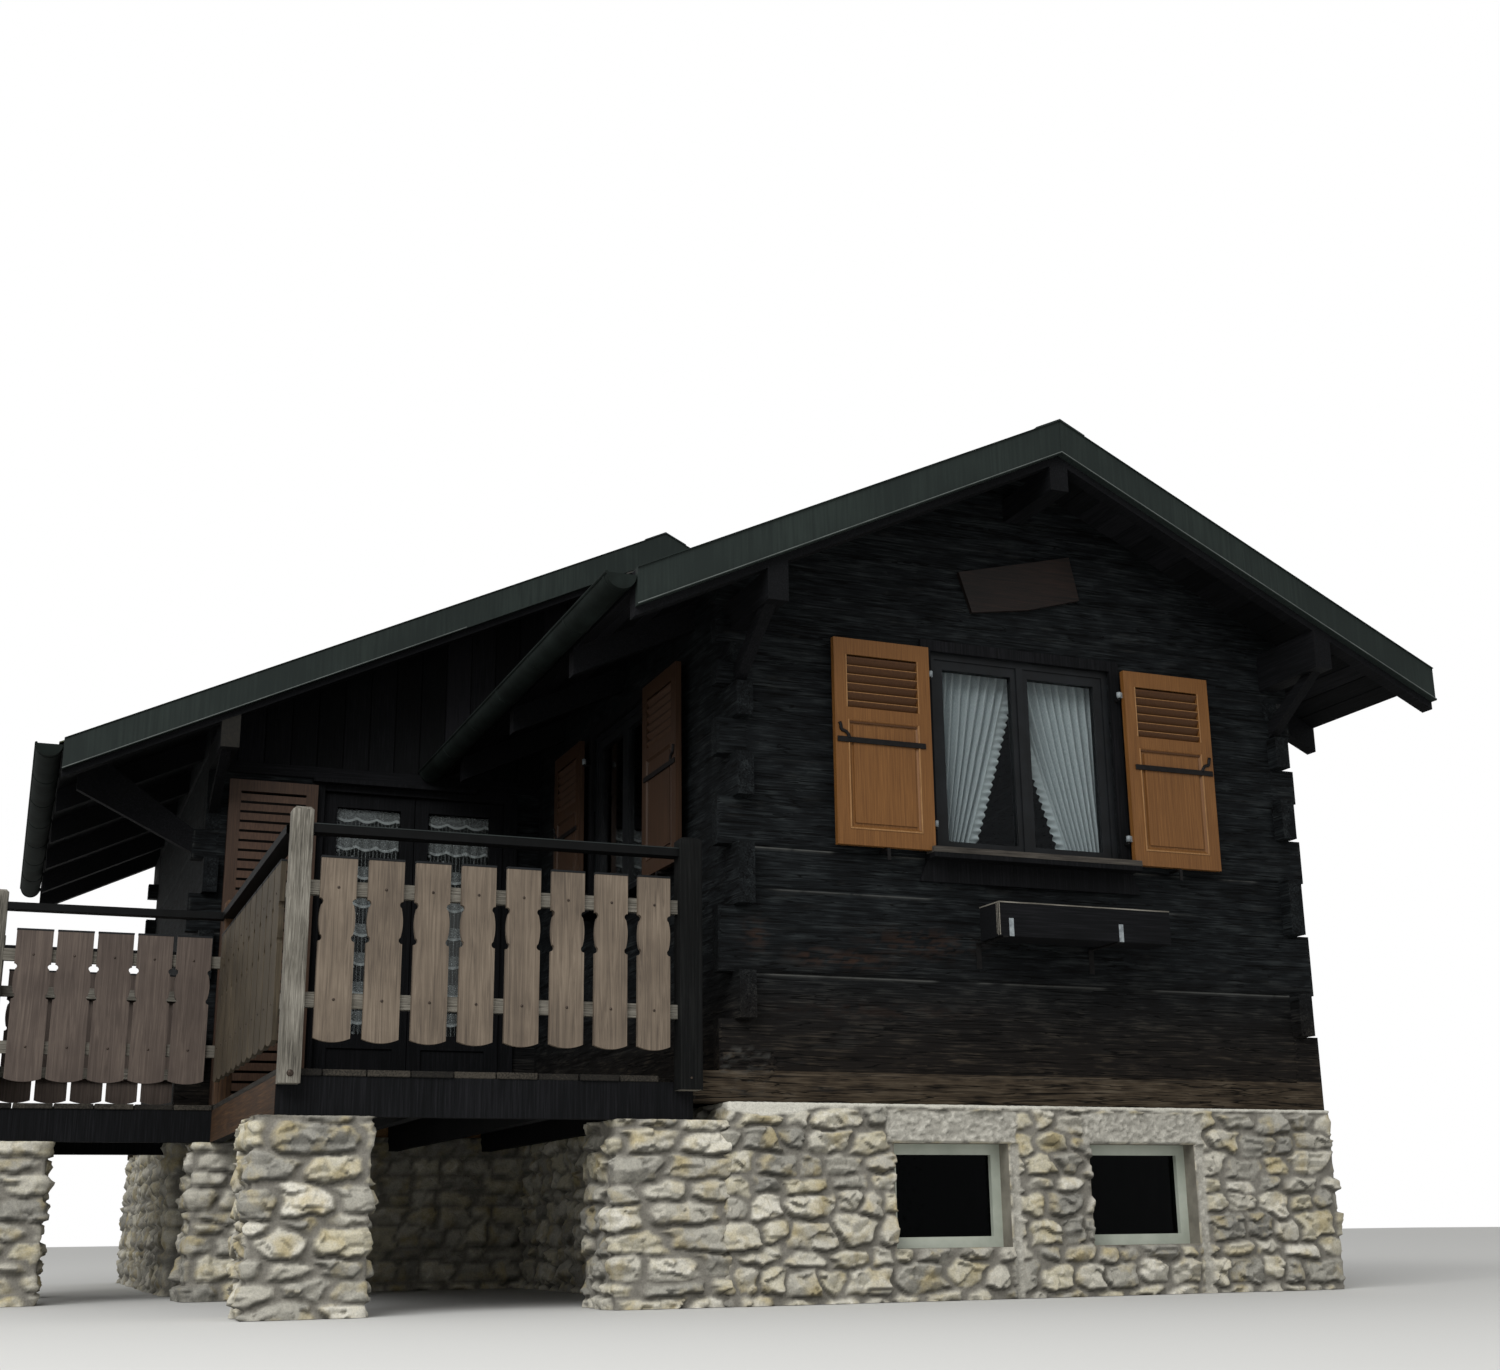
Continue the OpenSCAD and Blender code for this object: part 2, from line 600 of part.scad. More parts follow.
// Windows
module sash_frame(w, h, member, depth) difference() {
    cube([w, depth, h]);
    translate([member, -1, member]) cube([w - 2 * member, depth + 2, h - 2 * member]);
}
// An outer frame with two casements set back in it, and a cover strip where they meet
sash_in = 8;
meet_w = 42;
module window_frame(w, h) union() {
    sash_frame(w, h, frame_m, frame_d);
    for (x = [frame_m, w / 2])
        translate([x, sash_in, frame_m]) sash_frame(w / 2 - frame_m, h - 2 * frame_m, sash_m, sash_d);
    translate([w / 2 - meet_w / 2, 0, frame_m]) cube([meet_w, sash_in, h - 2 * frame_m]);
}
pane_in = frame_m + sash_m;
module window_panes(w, h) for (x = [pane_in, w / 2 + sash_m])
    translate([x, sash_in + sash_d / 2 - glass_t / 2, pane_in])
    cube([w / 2 - frame_m - 2 * sash_m, glass_t, h - 2 * pane_in]);
frame_in = 12;
module front_window() color("dimgray") translate([win_x - win_w / 2, frame_in, win_z]) window_frame(win_w, win_h);
module at_side_window() translate([frame_in + frame_d, side_win_y - win_w / 2, win_z]) rotate([0, 0, 90]) children();
module at_right_window() translate([front_w - frame_in, right_win_y - win_w / 2, win_z])
    rotate([0, 0, 90]) children();
module at_rear_window() translate([rear_win_x - win_w / 2, rear_y - frame_in - frame_d, win_z]) children();
module other_windows() color("dimgray") union() {
    at_side_window() window_frame(win_w, win_h);
    at_right_window() window_frame(win_w, win_h);
    at_rear_window() window_frame(win_w, win_h);
}
cellar_in = 90;
module at_cellar() for (x = cellar_x) translate([x - cellar_win_w / 2, cellar_in - plinth_proud, cellar_z0]) children();
module cellar_windows() color("honeydew") at_cellar() sash_frame(cellar_win_w, cellar_win_h, cellar_m, frame_d);
module window_glass() color("lightsteelblue") union() {
    translate([win_x - win_w / 2, frame_in, win_z]) window_panes(win_w, win_h);
    at_side_window() window_panes(win_w, win_h);
    at_right_window() window_panes(win_w, win_h);
    at_rear_window() window_panes(win_w, win_h);
    at_cellar() translate([cellar_m, frame_d / 2 - glass_t / 2, cellar_m])
        cube([cellar_win_w - 2 * cellar_m, glass_t, cellar_win_h - 2 * cellar_m]);
}

// Casings: two uprights and a head round an opening, with a sill board below
sill_out_w = 110;
sill_t = 28;
apron_h = 114;
module casing(w, h) {
    difference() {
        translate([-casing_w, -casing_t, 0]) cube([w + 2 * casing_w, casing_t, h + casing_w]);
        translate([-1, -casing_t - 1, -1]) cube([w + 2, casing_t + 2, h + 2]);
    }
    translate([-casing_w - 10, -sill_out_w, -sill_t]) cube([w + 2 * casing_w + 20, sill_out_w, sill_t]);
}
module apron() translate([0, 0, -sill_t]) along_y(-casing_t, 0) polygon([
    [-casing_w - 5, 0],
    [win_w + casing_w + 5, 0],
    [win_w + casing_w + 50, -apron_h],
    [-casing_w - 50, -apron_h]]);
module window_casings() color("saddlebrown") union() {
    translate([win_x - win_w / 2, 0, win_z]) casing(win_w, win_h);
    translate([win_x - win_w / 2, 0, win_z]) apron();
    translate([0, side_win_y + win_w / 2, win_z]) rotate([0, 0, -90]) casing(win_w, win_h);
    translate([front_w, right_win_y - win_w / 2, win_z]) rotate([0, 0, 90]) casing(win_w, win_h);
    translate([rear_win_x + win_w / 2, rear_y, win_z]) rotate([0, 0, 180]) casing(win_w, win_h);
}

// Door of the wing: a frame in the doorway, and two glazed leaves that open inwards
jamb_w = 22;
rebate = 6;
leaf_w = (door_w - 2 * jamb_w - 3 * rebate) / 2;
leaf_z0 = floor_z + 14;
leaf_h = door_z1 - jamb_w - rebate - leaf_z0;
leaf_y = front_d + wall_t - leaf_t - 2;
hinge_off = 12;
hinge_y = leaf_y + leaf_t + hinge_off;
door_eye_r = 9;
module door_frame() color([0.25, 0.2, 0.17]) union() {
    for (x = [door_x0, door_x1 - jamb_w]) box(x, x + jamb_w, front_d, front_d + wall_t, floor_z, door_z1);
    box(door_x0 + jamb_w, door_x1 - jamb_w, front_d, front_d + wall_t, door_z1 - jamb_w, door_z1);
    for (x = [door_x0 - casing_w, door_x1 - jamb_w])
        box(x, x + casing_w + jamb_w, front_d - casing_t, front_d, floor_z, door_z1 + 20);
    box(door_x0 - casing_w, door_x1 - 240, front_d - 70, front_d, door_z1 + 20, door_z1 + 45);
}
module door_leaf_body() difference() {
    cube([leaf_w, leaf_t, leaf_h]);
    translate([stile_w, -1, kick_h]) cube([leaf_w - 2 * stile_w, leaf_t + 2, leaf_h - kick_h - stile_w]);
    for (y = [-1, leaf_t - 12]) translate([stile_w, y, stile_w])
        cube([leaf_w - 2 * stile_w, 13, kick_h - 2 * stile_w]);
}
// Eyes on the inner side of a leaf, with x from its hinged edge
door_hinge_z = [180, leaf_h - 240];
door_eye_h = 60;
module door_eyes() for (z = door_hinge_z) translate([0, leaf_t + hinge_off, z]) difference() {
    union() {
        cylinder(r = door_eye_r, h = door_eye_h);
        translate([0, -hinge_off, 0]) cube([60, 6, door_eye_h]);
        translate([0, -hinge_off, 0]) cube([door_eye_r, hinge_off, door_eye_h]);
    }
    translate([0, 0, -1]) cylinder(r = pin_r + eye_gap, h = door_eye_h + 2);
}
// A pin stands on an arm that reaches over to the jamb
pin_drop = 14;
module door_pins() for (z = door_hinge_z) translate([0, 0, z - pin_drop]) {
    cylinder(r = pin_r, h = door_eye_h + pin_drop);
    translate([-22, front_d + wall_t - hinge_y, 0]) cube([22, 14, 10]);
}
module door_pane() translate([stile_w, leaf_t / 2 - glass_t / 2, kick_h])
    cube([leaf_w - 2 * stile_w, glass_t, leaf_h - kick_h - stile_w]);
module door_drape() translate([stile_w, leaf_t / 2 + glass_t / 2 + 2, kick_h + 4])
    cube([leaf_w - 2 * stile_w, 10, leaf_h - kick_h - stile_w - 8]);
module at_leaf_left() translate([door_x0 + jamb_w + rebate, leaf_y, leaf_z0]) children();
module at_leaf_right() translate([door_x1 - jamb_w - rebate, leaf_y, leaf_z0]) mirror([1, 0, 0]) children();
module door_leaf() union() {
    door_leaf_body();
    door_eyes();
}
module door_leaf_left() color([0.3, 0.24, 0.2]) at_leaf_left() door_leaf();
module door_leaf_right() color([0.3, 0.24, 0.2]) at_leaf_right() door_leaf();
module door_glass_left() color("lightsteelblue") at_leaf_left() door_pane();
module door_glass_right() color("lightsteelblue") at_leaf_right() door_pane();
module door_curtain_left() color("white") at_leaf_left() door_drape();
module door_curtain_right() color("white") at_leaf_right() door_drape();

// Curtains of the front window, drawn to the sides and hung on a rail over the opening
drape_t = 30;
drape_y = wall_t + 25;
drape_h = win_h - 20;
module window_curtains() color("white") for (s = [0, 1])
    translate([win_x - win_w / 2 + s * win_w, drape_y, win_z + 40]) mirror([s, 0, 0])
    along_y(0, drape_t) polygon([[-40, 0], [150, 0], [120, 420], [win_w / 2 - 20, drape_h], [-40, drape_h]]);

// Shutters. A leaf is drawn flat: x from its hinged edge, y from its outer face, z up
module slats(w, z0, z1, n) for (i = [0:n - 1])
    translate([0, shutter_t / 2, z0 + (i + 0.5) * (z1 - z0) / n]) rotate([-38, 0, 0])
    translate([0, -shutter_t / 2 + 3, -slat_t / 2]) cube([w, shutter_t - 6, slat_t]);
field_lo = 0.66;
field_hi = 0.92;
panel_lo = 0.08;
panel_hi = 0.60;
panel_in = 9;
module window_leaf() {
    difference() {
        cube([shut_w, shutter_t, shut_h]);
        translate([shutter_stile, -1, field_lo * shut_h])
            cube([shut_w - 2 * shutter_stile, shutter_t + 2, (field_hi - field_lo) * shut_h]);
        for (y = [-1, shutter_t - panel_in]) translate([shutter_stile, y, panel_lo * shut_h])
            cube([shut_w - 2 * shutter_stile, panel_in + 1, (panel_hi - panel_lo) * shut_h]);
    }
    translate([shutter_stile - 4, 0, 0]) slats(shut_w - 2 * shutter_stile + 8, field_lo * shut_h, field_hi * shut_h, slat_n);
    translate([shutter_stile + 28, panel_in - 7, panel_lo * shut_h + 28])
        cube([shut_w - 2 * shutter_stile - 56, 8, (panel_hi - panel_lo) * shut_h - 56]);
    closing_bar();
}
// The iron bar that closes a pair of leaves, with its curved handle
bar_h = 22;
bar_out = 7;
bar_share = 0.49;
grip_r = 44;
module closing_bar() translate([0, 0, bar_share * shut_h]) along_y(-bar_out, 2) {
    translate([40, 0]) square([shut_w - 50, bar_h]);
    translate([shut_w - 80, bar_h - 4]) difference() {
        translate([grip_r, 0]) circle(r = grip_r, $fn = 48);
        translate([grip_r, 0]) circle(r = grip_r - 9, $fn = 48);
        translate([-1, -grip_r - 1]) square([2 * grip_r + 2, grip_r + 1]);
        translate([grip_r, -1]) square([grip_r + 2, grip_r + 2]);
    }
}
module tall_leaf() {
    mid = 0.5 * tall_h;
    difference() {
        cube([tall_w, shutter_t, tall_h]);
        translate([shutter_stile, -1, shutter_stile])
            cube([tall_w - 2 * shutter_stile, shutter_t + 2, mid - 1.5 * shutter_stile]);
        translate([shutter_stile, -1, mid + shutter_stile / 2])
            cube([tall_w - 2 * shutter_stile, shutter_t + 2, mid - 1.5 * shutter_stile]);
    }
    translate([shutter_stile - 4, 0, 0]) {
        slats(tall_w - 2 * shutter_stile + 8, shutter_stile, mid - shutter_stile / 2, tall_slat_n);
        slats(tall_w - 2 * shutter_stile + 8, mid + shutter_stile / 2, tall_h - shutter_stile, tall_slat_n);
    }
}
strap_w = 30;
// A leaf laid open against a wall in front of it: the axis is the origin, the leaf runs to -x
hinge_share = [0.12, 0.86];
module open_leaf(h) mirror([1, 0, 0]) union() {
    translate([axis_gap, -leaf_in, 0]) children();
    for (z = hinge_share) translate([0, 0, z * h]) eye();
}
// Eye of a strap hinge, joined to the leaf's edge
module eye() difference() {
    union() {
        cylinder(r = eye_r, h = strap_w);
        translate([0, -3, 0]) cube([axis_gap + 4, 6, strap_w]);
    }
    translate([0, 0, -1]) cylinder(r = pin_r + eye_gap, h = strap_w + 2);
}
module shutter_front_left() color("peru") translate([win_x - win_w / 2 - shut_axis, -axis_off, shut_z])
    open_leaf(shut_h) window_leaf();
module shutter_front_right() color("peru") translate([win_x + win_w / 2 + shut_axis, -axis_off, shut_z])
    mirror([1, 0, 0]) open_leaf(shut_h) window_leaf();
module shutter_side_near() color("sienna") translate([-axis_off, side_win_y - win_w / 2 - shut_axis, shut_z])
    rotate([0, 0, -90]) mirror([1, 0, 0]) open_leaf(shut_h) window_leaf();
module shutter_side_far() color("sienna") translate([-axis_off, side_win_y + win_w / 2 + shut_axis, shut_z])
    rotate([0, 0, -90]) open_leaf(shut_h) window_leaf();
module shutter_door() color("sienna") translate([tall_axis_x, front_d - axis_off, tall_z])
    open_leaf(tall_h) tall_leaf();

// Pintles on the wall, with the arms that carry them
module pintle() translate([0, 0, -pin_drop]) {
    cylinder(r = pin_r, h = strap_w + pin_drop + 8);
    translate([-pin_r, 0, 0]) cube([2 * pin_r, axis_off - casing_t, 9]);
}
module pintles(h) for (z = hinge_share) translate([0, 0, z * h]) pintle();
// The catch that holds an open leaf, hanging turned down so that the leaf can pass
module holdback() translate([0, 0, -leaf_gap]) {
    box(-7, 7, -axis_off - leaf_in - 10, 0, -12, 0);
    box(-9, 9, -axis_off - leaf_in - 14, -axis_off - leaf_in - 8, -62, -4);
}
module wall_irons() color([0.15, 0.15, 0.15]) union() {
    for (x = [win_x - win_w / 2 - shut_axis, win_x + win_w / 2 + shut_axis])
        translate([x, -axis_off, shut_z]) pintles(shut_h);
    for (y = [side_win_y - win_w / 2 - shut_axis, side_win_y + win_w / 2 + shut_axis])
        translate([-axis_off, y, shut_z]) rotate([0, 0, -90]) pintles(shut_h);
    translate([tall_axis_x, front_d - axis_off, tall_z]) pintles(tall_h);
    for (s = [-1, 1]) {
        translate([win_x + s * (win_w / 2 + shut_axis + axis_gap + shut_w / 2), 0, shut_z]) holdback();
        translate([0, side_win_y + s * (win_w / 2 + shut_axis + axis_gap + shut_w / 2), shut_z])
            rotate([0, 0, -90]) holdback();
    }
    translate([door_x0 + jamb_w + rebate, hinge_y, leaf_z0]) door_pins();
    translate([door_x1 - jamb_w - rebate, hinge_y, leaf_z0]) mirror([1, 0, 0]) door_pins();
    box(win_x - win_w / 2 - 60, win_x + win_w / 2 + 60, wall_t, drape_y + drape_t, win_z + 40 + drape_h,
        win_z + 60 + drape_h);
    for (x = [win_x - 340, win_x + 340]) translate([x, 0, 0]) {
        box(-15, 15, -box_y1 - box_d, -box_y1, box_z - 6, box_z);
        box(-15, 15, -box_y1, 0, box_z - 6, box_z);
        box(-15, 15, -6, 0, box_z - 130, box_z - 6);
    }
}

// Flower box on its irons, open at the top
box_y1 = 90;
box_z = win_z - sill_t - apron_h - 310;
module flower_box() color("saddlebrown") translate([win_x + 140 - box_l / 2, -box_y1 - box_d, box_z]) difference() {
    cube([box_l, box_d, box_h]);
    translate([18, 18, 18]) cube([box_l - 36, box_d - 36, box_h]);
}
// Name board: a plank with uneven ends, hung askew
module name_board() color([0.25, 0.17, 0.12]) translate([win_x + 22, 0, plate_z + 280]) rotate([0, -14, 0])
    along_y(-28, 0) polygon([
        [-sign_l / 2, -sign_h / 2 + 20],
        [-sign_l / 2 - 15, sign_h / 2],
        [sign_l / 2, sign_h / 2],
        [sign_l / 2 - 10, -sign_h / 2],
        [0, -sign_h / 2 - 12]]);

// Deck
pier_out = 75;
right_pier_x = -603;
back_pier = 400;
module pier(x, w, y, d) box(x, x + w, y, y + d, 0, beam_z);
module deck_piers() color("darkkhaki") union() {
    pier(deck_x0 - pier_out, pier_w, deck_y0 - 10, pier_d);
    pier(right_pier_x, -plinth_proud - right_pier_x, deck_y0 - 10, pier_d);
    pier(deck_x0 - pier_out, back_pier, deck_d, back_pier);
    for (y = [deck_d, side_y1 - back_pier]) pier(side_x0, back_pier, y, back_pier);
}
module deck_beams() color([0.17, 0.14, 0.12]) {
    z1 = floor_z - deck_t;
    rear = front_d - plinth_proud;
    box(deck_x0, -sill_out - 5, deck_y0, deck_y0 + beam_w, beam_z, z1);
    box(deck_x0, deck_x0 + beam_w, deck_y0 + beam_w, rear, beam_z, z1);
    for (i = [1:3]) let (x = deck_x0 + i * (-deck_x0 - 300 - beam_w) / 3)
        box(x, x + beam_w, deck_y0 + beam_w, rear, beam_z, z1);
    box(side_x0, deck_x0, deck_d, deck_d + beam_w, beam_z, z1);
    box(side_x0, side_x0 + beam_w, deck_d + beam_w, side_y1 - beam_w, beam_z, z1);
    box(side_x0, -wing_out - plinth_proud, side_y1 - beam_w, side_y1, beam_z, z1);
}
module deck_floor() color("tan") difference() {
    union() {
        box(deck_x0, 0, deck_y0, front_d, floor_z - deck_t, floor_z);
        box(side_x0, deck_x0, deck_d, front_d, floor_z - deck_t, floor_z);
        box(side_x0, -wing_out, front_d, side_y1, floor_z - deck_t, floor_z);
    }
    box(-sill_out - 5, 100, deck_y0 - 50, wall_t + 5, floor_z - deck_t - 1, floor_z + 1);
}
post_top = rail_h + 73;
right_post_x = -316;
right_post_w = 110;
corner_y = deck_d - post_w / 2;
module deck_posts() color([0.45, 0.43, 0.41]) union() {
    z0 = floor_z - post_low;
    z1 = floor_z + post_top;
    post(deck_x0, deck_y0 - post_w, post_w, z0, z1);
    post(right_post_x, deck_y0 - post_w, right_post_w, z0, z1 - 17);
    post(deck_x0, corner_y, post_w, floor_z, z1);
    for (y = [deck_d, side_y1 - post_w]) post(side_x0, y, post_w, floor_z, z1);
}
// A post whose top is eased on all four sides
ease_h = 14;
post_low = 70;
module post(x, y, w, z0, z1) translate([x + w / 2, y + post_w / 2, 0]) {
    translate([-w / 2, -post_w / 2, z0]) cube([w, post_w, z1 - ease_h - z0]);
    translate([0, 0, z1 - ease_h]) linear_extrude(ease_h, scale = 0.72) square([w, post_w], center = true);
}
// Rails between the posts: a handrail above and two rails that carry the boards
rail_t = 40;
rail_levels = [263, 765];
rail_bar_h = 66;
grip_h = 38;
grip_w = 80;
module rails_x(x0, x1, y) {
    for (z = rail_levels) box(x0, x1, y, y + rail_t, floor_z + z, floor_z + z + rail_bar_h);
    box(x0, x1, y - grip_w / 2 + rail_t / 2, y + grip_w / 2 + rail_t / 2, floor_z + rail_h - grip_h, floor_z + rail_h);
}
module rails_y(y0, y1, x) {
    for (z = rail_levels) box(x, x + rail_t, y0, y1, floor_z + z, floor_z + z + rail_bar_h);
    box(x - grip_w / 2 + rail_t / 2, x + grip_w / 2 + rail_t / 2, y0, y1, floor_z + rail_h - grip_h, floor_z + rail_h);
}
front_rail_y = deck_y0 - post_w / 2 - 5;
left_rail_x = deck_x0 + 5;
back_rail_y = deck_d;
return_rail_y = side_y1 - 60;
module deck_rails() color([0.5, 0.48, 0.46]) union() {
    rails_x(deck_x0 + post_w, right_post_x, front_rail_y);
    rails_y(deck_y0, corner_y, left_rail_x);
    rails_x(side_x0 + post_w, deck_x0, back_rail_y);
    rails_y(deck_d + post_w, side_y1 - post_w, end_rail_x);
    rails_x(side_x0 + post_w, -wing_out, return_rail_y);
}
// A railing board: rounded at the foot, with a bulging waist between two nicks in each edge
board_low = 110;
nick_hi = 0.75;
nick_lo = 0.555;
function arc_r(half, sag) = (half * half / sag + sag) / 2;
module board_outline(w) {
    z_lo = nick_lo * board_h;
    z_hi = nick_hi * board_h;
    waist_r = arc_r((z_hi - z_lo) / 2, waist_in);
    foot_r = arc_r(w / 2, foot_drop);
    difference() {
        union() {
            intersection() {
                translate([-w / 2, 0]) square([w, foot_drop + 1]);
                translate([0, foot_r]) circle(r = foot_r, $fn = 256);
            }
            translate([-w / 2, foot_drop]) square([w, z_lo - foot_drop]);
            translate([-w / 2, z_hi]) square([w, board_h - z_hi]);
            intersection() {
                translate([-w / 2, z_lo - 1]) square([w, z_hi - z_lo + 2]);
                translate([w / 2 - waist_r, (z_lo + z_hi) / 2]) circle(r = waist_r, $fn = 128);
                translate([waist_r - w / 2, (z_lo + z_hi) / 2]) circle(r = waist_r, $fn = 128);
            }
        }
        for (s = [-1, 1]) for (z = [z_lo, z_hi]) translate([s * w / 2, z]) circle(r = notch_r, $fn = 24);
    }
}
module boards_x(x0, n, p, w, y) for (i = [0:n - 1])
    translate([x0 + (i + 0.5) * p, 0, floor_z + board_low]) along_y(y - board_t, y) board_outline(w);
module boards_y(y0, n, p, w, x) for (i = [0:n - 1])
    translate([0, y0 + (i + 0.5) * p, floor_z + board_low]) along_x(x, x + board_t) board_outline(w);
front_n = floor((right_post_x - deck_x0 - post_w) / board_pitch);
module railing_front() color("rosybrown")
    boards_x(deck_x0 + post_w + (right_post_x - deck_x0 - post_w - front_n * board_pitch) / 2,
        front_n, board_pitch, board_w, front_rail_y);
close_pitch = 212;
close_w = 190;
module railing_left() color("rosybrown") {
    n = floor((corner_y - deck_y0) / close_pitch);
    boards_y(deck_y0 + (corner_y - deck_y0 - n * close_pitch) / 2, n, close_pitch, close_w, left_rail_x - board_t);
}
module railing_back() color("rosybrown") {
    run = deck_x0 - side_x0 - post_w;
    n = floor(run / close_pitch);
    boards_x(side_x0 + post_w + (run - n * close_pitch) / 2, n, close_pitch, close_w, back_rail_y);
    run_y = side_deck_d - 2 * post_w;
    m = floor(run_y / close_pitch);
    boards_y(deck_d + post_w + (run_y - m * close_pitch) / 2, m, close_pitch, close_w, end_rail_x - board_t);
    run_b = -wing_out - side_x0 - post_w;
    k = floor(run_b / close_pitch);
    boards_x(side_x0 + post_w + (run_b - k * close_pitch) / 2, k, close_pitch, close_w,
        return_rail_y + rail_t + board_t);
}

place() plinth_front();
place() plinth_left();
place() plinth_right();
place() plinth_rear();
place() cellar_floor();
place() main_floor();
place() front_wall();
place() left_wall();
place() right_wall();
place() wing_wall_left();
place() wing_wall_right();
place() wing_gable();
place() wing_left_wall();
place() rear_wall();
place() rafters();
place() front_roof_left();
place() front_roof_right();
place() wing_roof_left();
place() wing_roof_right();
place() barge_boards();
place() ridge_caps();
place() purlins();
place() braces();
place() gutters();
place() front_window();
place() other_windows();
place() cellar_windows();
place() window_glass();
place() window_casings();
place() door_frame();
place() flower_box();
place() name_board();
place() wall_irons();
place() window_curtains();
place() deck_piers();
place() deck_beams();
place() deck_floor();
place() deck_posts();
place() deck_rails();
place() railing_front();
place() railing_left();
place() railing_back();
place() door_leaf_left();
place() door_leaf_right();
place() door_glass_left();
place() door_glass_right();
place() door_curtain_left();
place() door_curtain_right();
place() shutter_front_left();
place() shutter_front_right();
place() shutter_side_near();
place() shutter_side_far();
place() shutter_door();
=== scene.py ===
import bpy, math
import numpy as np
from mathutils import Matrix, Vector


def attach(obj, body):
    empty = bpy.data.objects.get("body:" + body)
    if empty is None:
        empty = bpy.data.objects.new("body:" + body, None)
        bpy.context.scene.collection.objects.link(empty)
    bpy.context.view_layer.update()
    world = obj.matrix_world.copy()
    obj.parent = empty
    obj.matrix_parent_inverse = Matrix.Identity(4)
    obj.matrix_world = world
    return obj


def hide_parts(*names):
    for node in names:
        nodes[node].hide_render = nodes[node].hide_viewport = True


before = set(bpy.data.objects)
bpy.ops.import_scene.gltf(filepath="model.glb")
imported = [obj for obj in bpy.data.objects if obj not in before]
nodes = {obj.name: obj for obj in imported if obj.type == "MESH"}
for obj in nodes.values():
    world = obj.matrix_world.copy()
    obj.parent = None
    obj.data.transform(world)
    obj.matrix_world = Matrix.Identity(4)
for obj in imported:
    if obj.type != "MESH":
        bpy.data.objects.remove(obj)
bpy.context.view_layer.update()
print("stage: frame loaded,", len(nodes), "nodes")

# Lengths of pieces are in millimetres, counted as in the part's source from the front wall's left corner at
# ground level, and toFrame() turns them into the frame's metres. Camera, studio, the heights that a material
# reads and the lace's own pattern are in metres.
houseOrigin = np.array([340.0, 3700.0, 0.0])


def toFrame(points):
    return (np.asarray(points, dtype=float) - houseOrigin) / 1000


# sRGB hex to linear colour: each channel is divided by 12.92 up to 0.04045, and follows a 2.4 power above
def hexColor(text):
    value = [int(text[i:i + 2], 16) / 255 for i in (1, 3, 5)]
    return [c / 12.92 if c <= 0.04045 else ((c + 0.055) / 1.055) ** 2.4 for c in value] + [1.0]


# Adds one shader node and gives back one of its outputs. Keys in small letters are the node's properties,
# the others its inputs, each a value or an output to join; None leaves an input as it is
def addNode(tree, kind, values, out=0):
    node = tree.nodes.new("ShaderNode" + kind)
    for key, value in values.items():
        if str(key).islower():
            setattr(node, key, value)
        elif isinstance(value, bpy.types.NodeSocket):
            tree.links.new(value, node.inputs[key])
        elif value is not None:
            node.inputs[key].default_value = value
    return node.outputs[out] if len(node.outputs) else None


# Gives a ramp node its colours: pairs of a place from 0 to 1 and a hex colour, from the first to the last
def setRamp(output, marks):
    first, *between, last = marks
    elements = output.node.color_ramp.elements
    elements[0].position, elements[1].position = first[0], last[0]
    elements[0].color, elements[1].color = hexColor(first[1]), hexColor(last[1])
    for place, text in between:
        elements.new(place).color = hexColor(text)
    return output


finish = {}  # materials by name


def newMaterial(name):
    mat = finish[name] = bpy.data.materials.new(name)
    mat.use_nodes = True
    mat.node_tree.nodes.clear()
    return mat.node_tree


# Camera: where the photograph was taken from, worked out from the house's straight edges
cameraValues = {"place": (-3.618, -11.944, 0.350), "yaw": 22.291, "pitch": 15.356, "roll": -0.716,
                "focalPixels": 1816.61, "imageWidth": 1500, "centreDrop": 44.27, "sensor": 36.0, "clipEnd": 200}


def makeCamera():
    v = cameraValues
    yaw, pitch, roll = (math.radians(v[k]) for k in ("yaw", "pitch", "roll"))
    forward = Vector((math.sin(yaw) * math.cos(pitch), math.cos(yaw) * math.cos(pitch), math.sin(pitch)))
    side = Vector((math.cos(yaw), -math.sin(yaw), 0))
    upward = side.cross(forward)
    right = side * math.cos(roll) + upward * math.sin(roll)
    top = upward * math.cos(roll) - side * math.sin(roll)
    data = bpy.data.cameras.new("camera")
    data.sensor_fit = "HORIZONTAL"
    data.sensor_width = v["sensor"]
    data.lens = v["focalPixels"] / v["imageWidth"] * v["sensor"]
    data.shift_y = v["centreDrop"] / v["imageWidth"]
    data.clip_end = v["clipEnd"]
    camera = bpy.data.objects.new("camera", data)
    turn = Matrix((right, top, -forward)).transposed().to_4x4()
    camera.matrix_world = Matrix.Translation(v["place"]) @ turn
    bpy.context.scene.collection.objects.link(camera)
    bpy.context.scene.camera = camera


makeCamera()
bpy.context.scene.view_settings.view_transform = "Standard"

# Studio: a pale floor and soft light from all round, with a large soft lamp in front and to the left. The
# light falls from a dimmer sky than the one behind the object, dim too where it is seen through glass
studioValues = {"floor": "#d9d9d6", "floorRough": 0.95, "floorSize": 60, "floorLevel": -0.002, "sky": "#ffffff",
                "skyLight": 0.6, "skyBehind": 1.0, "skyThroughGlass": 0.04, "lampPower": 1500, "lampSize": 9.0,
                "lampPlace": (-9.0, -12.0, 11.0), "lampAim": (0, 0, 2)}


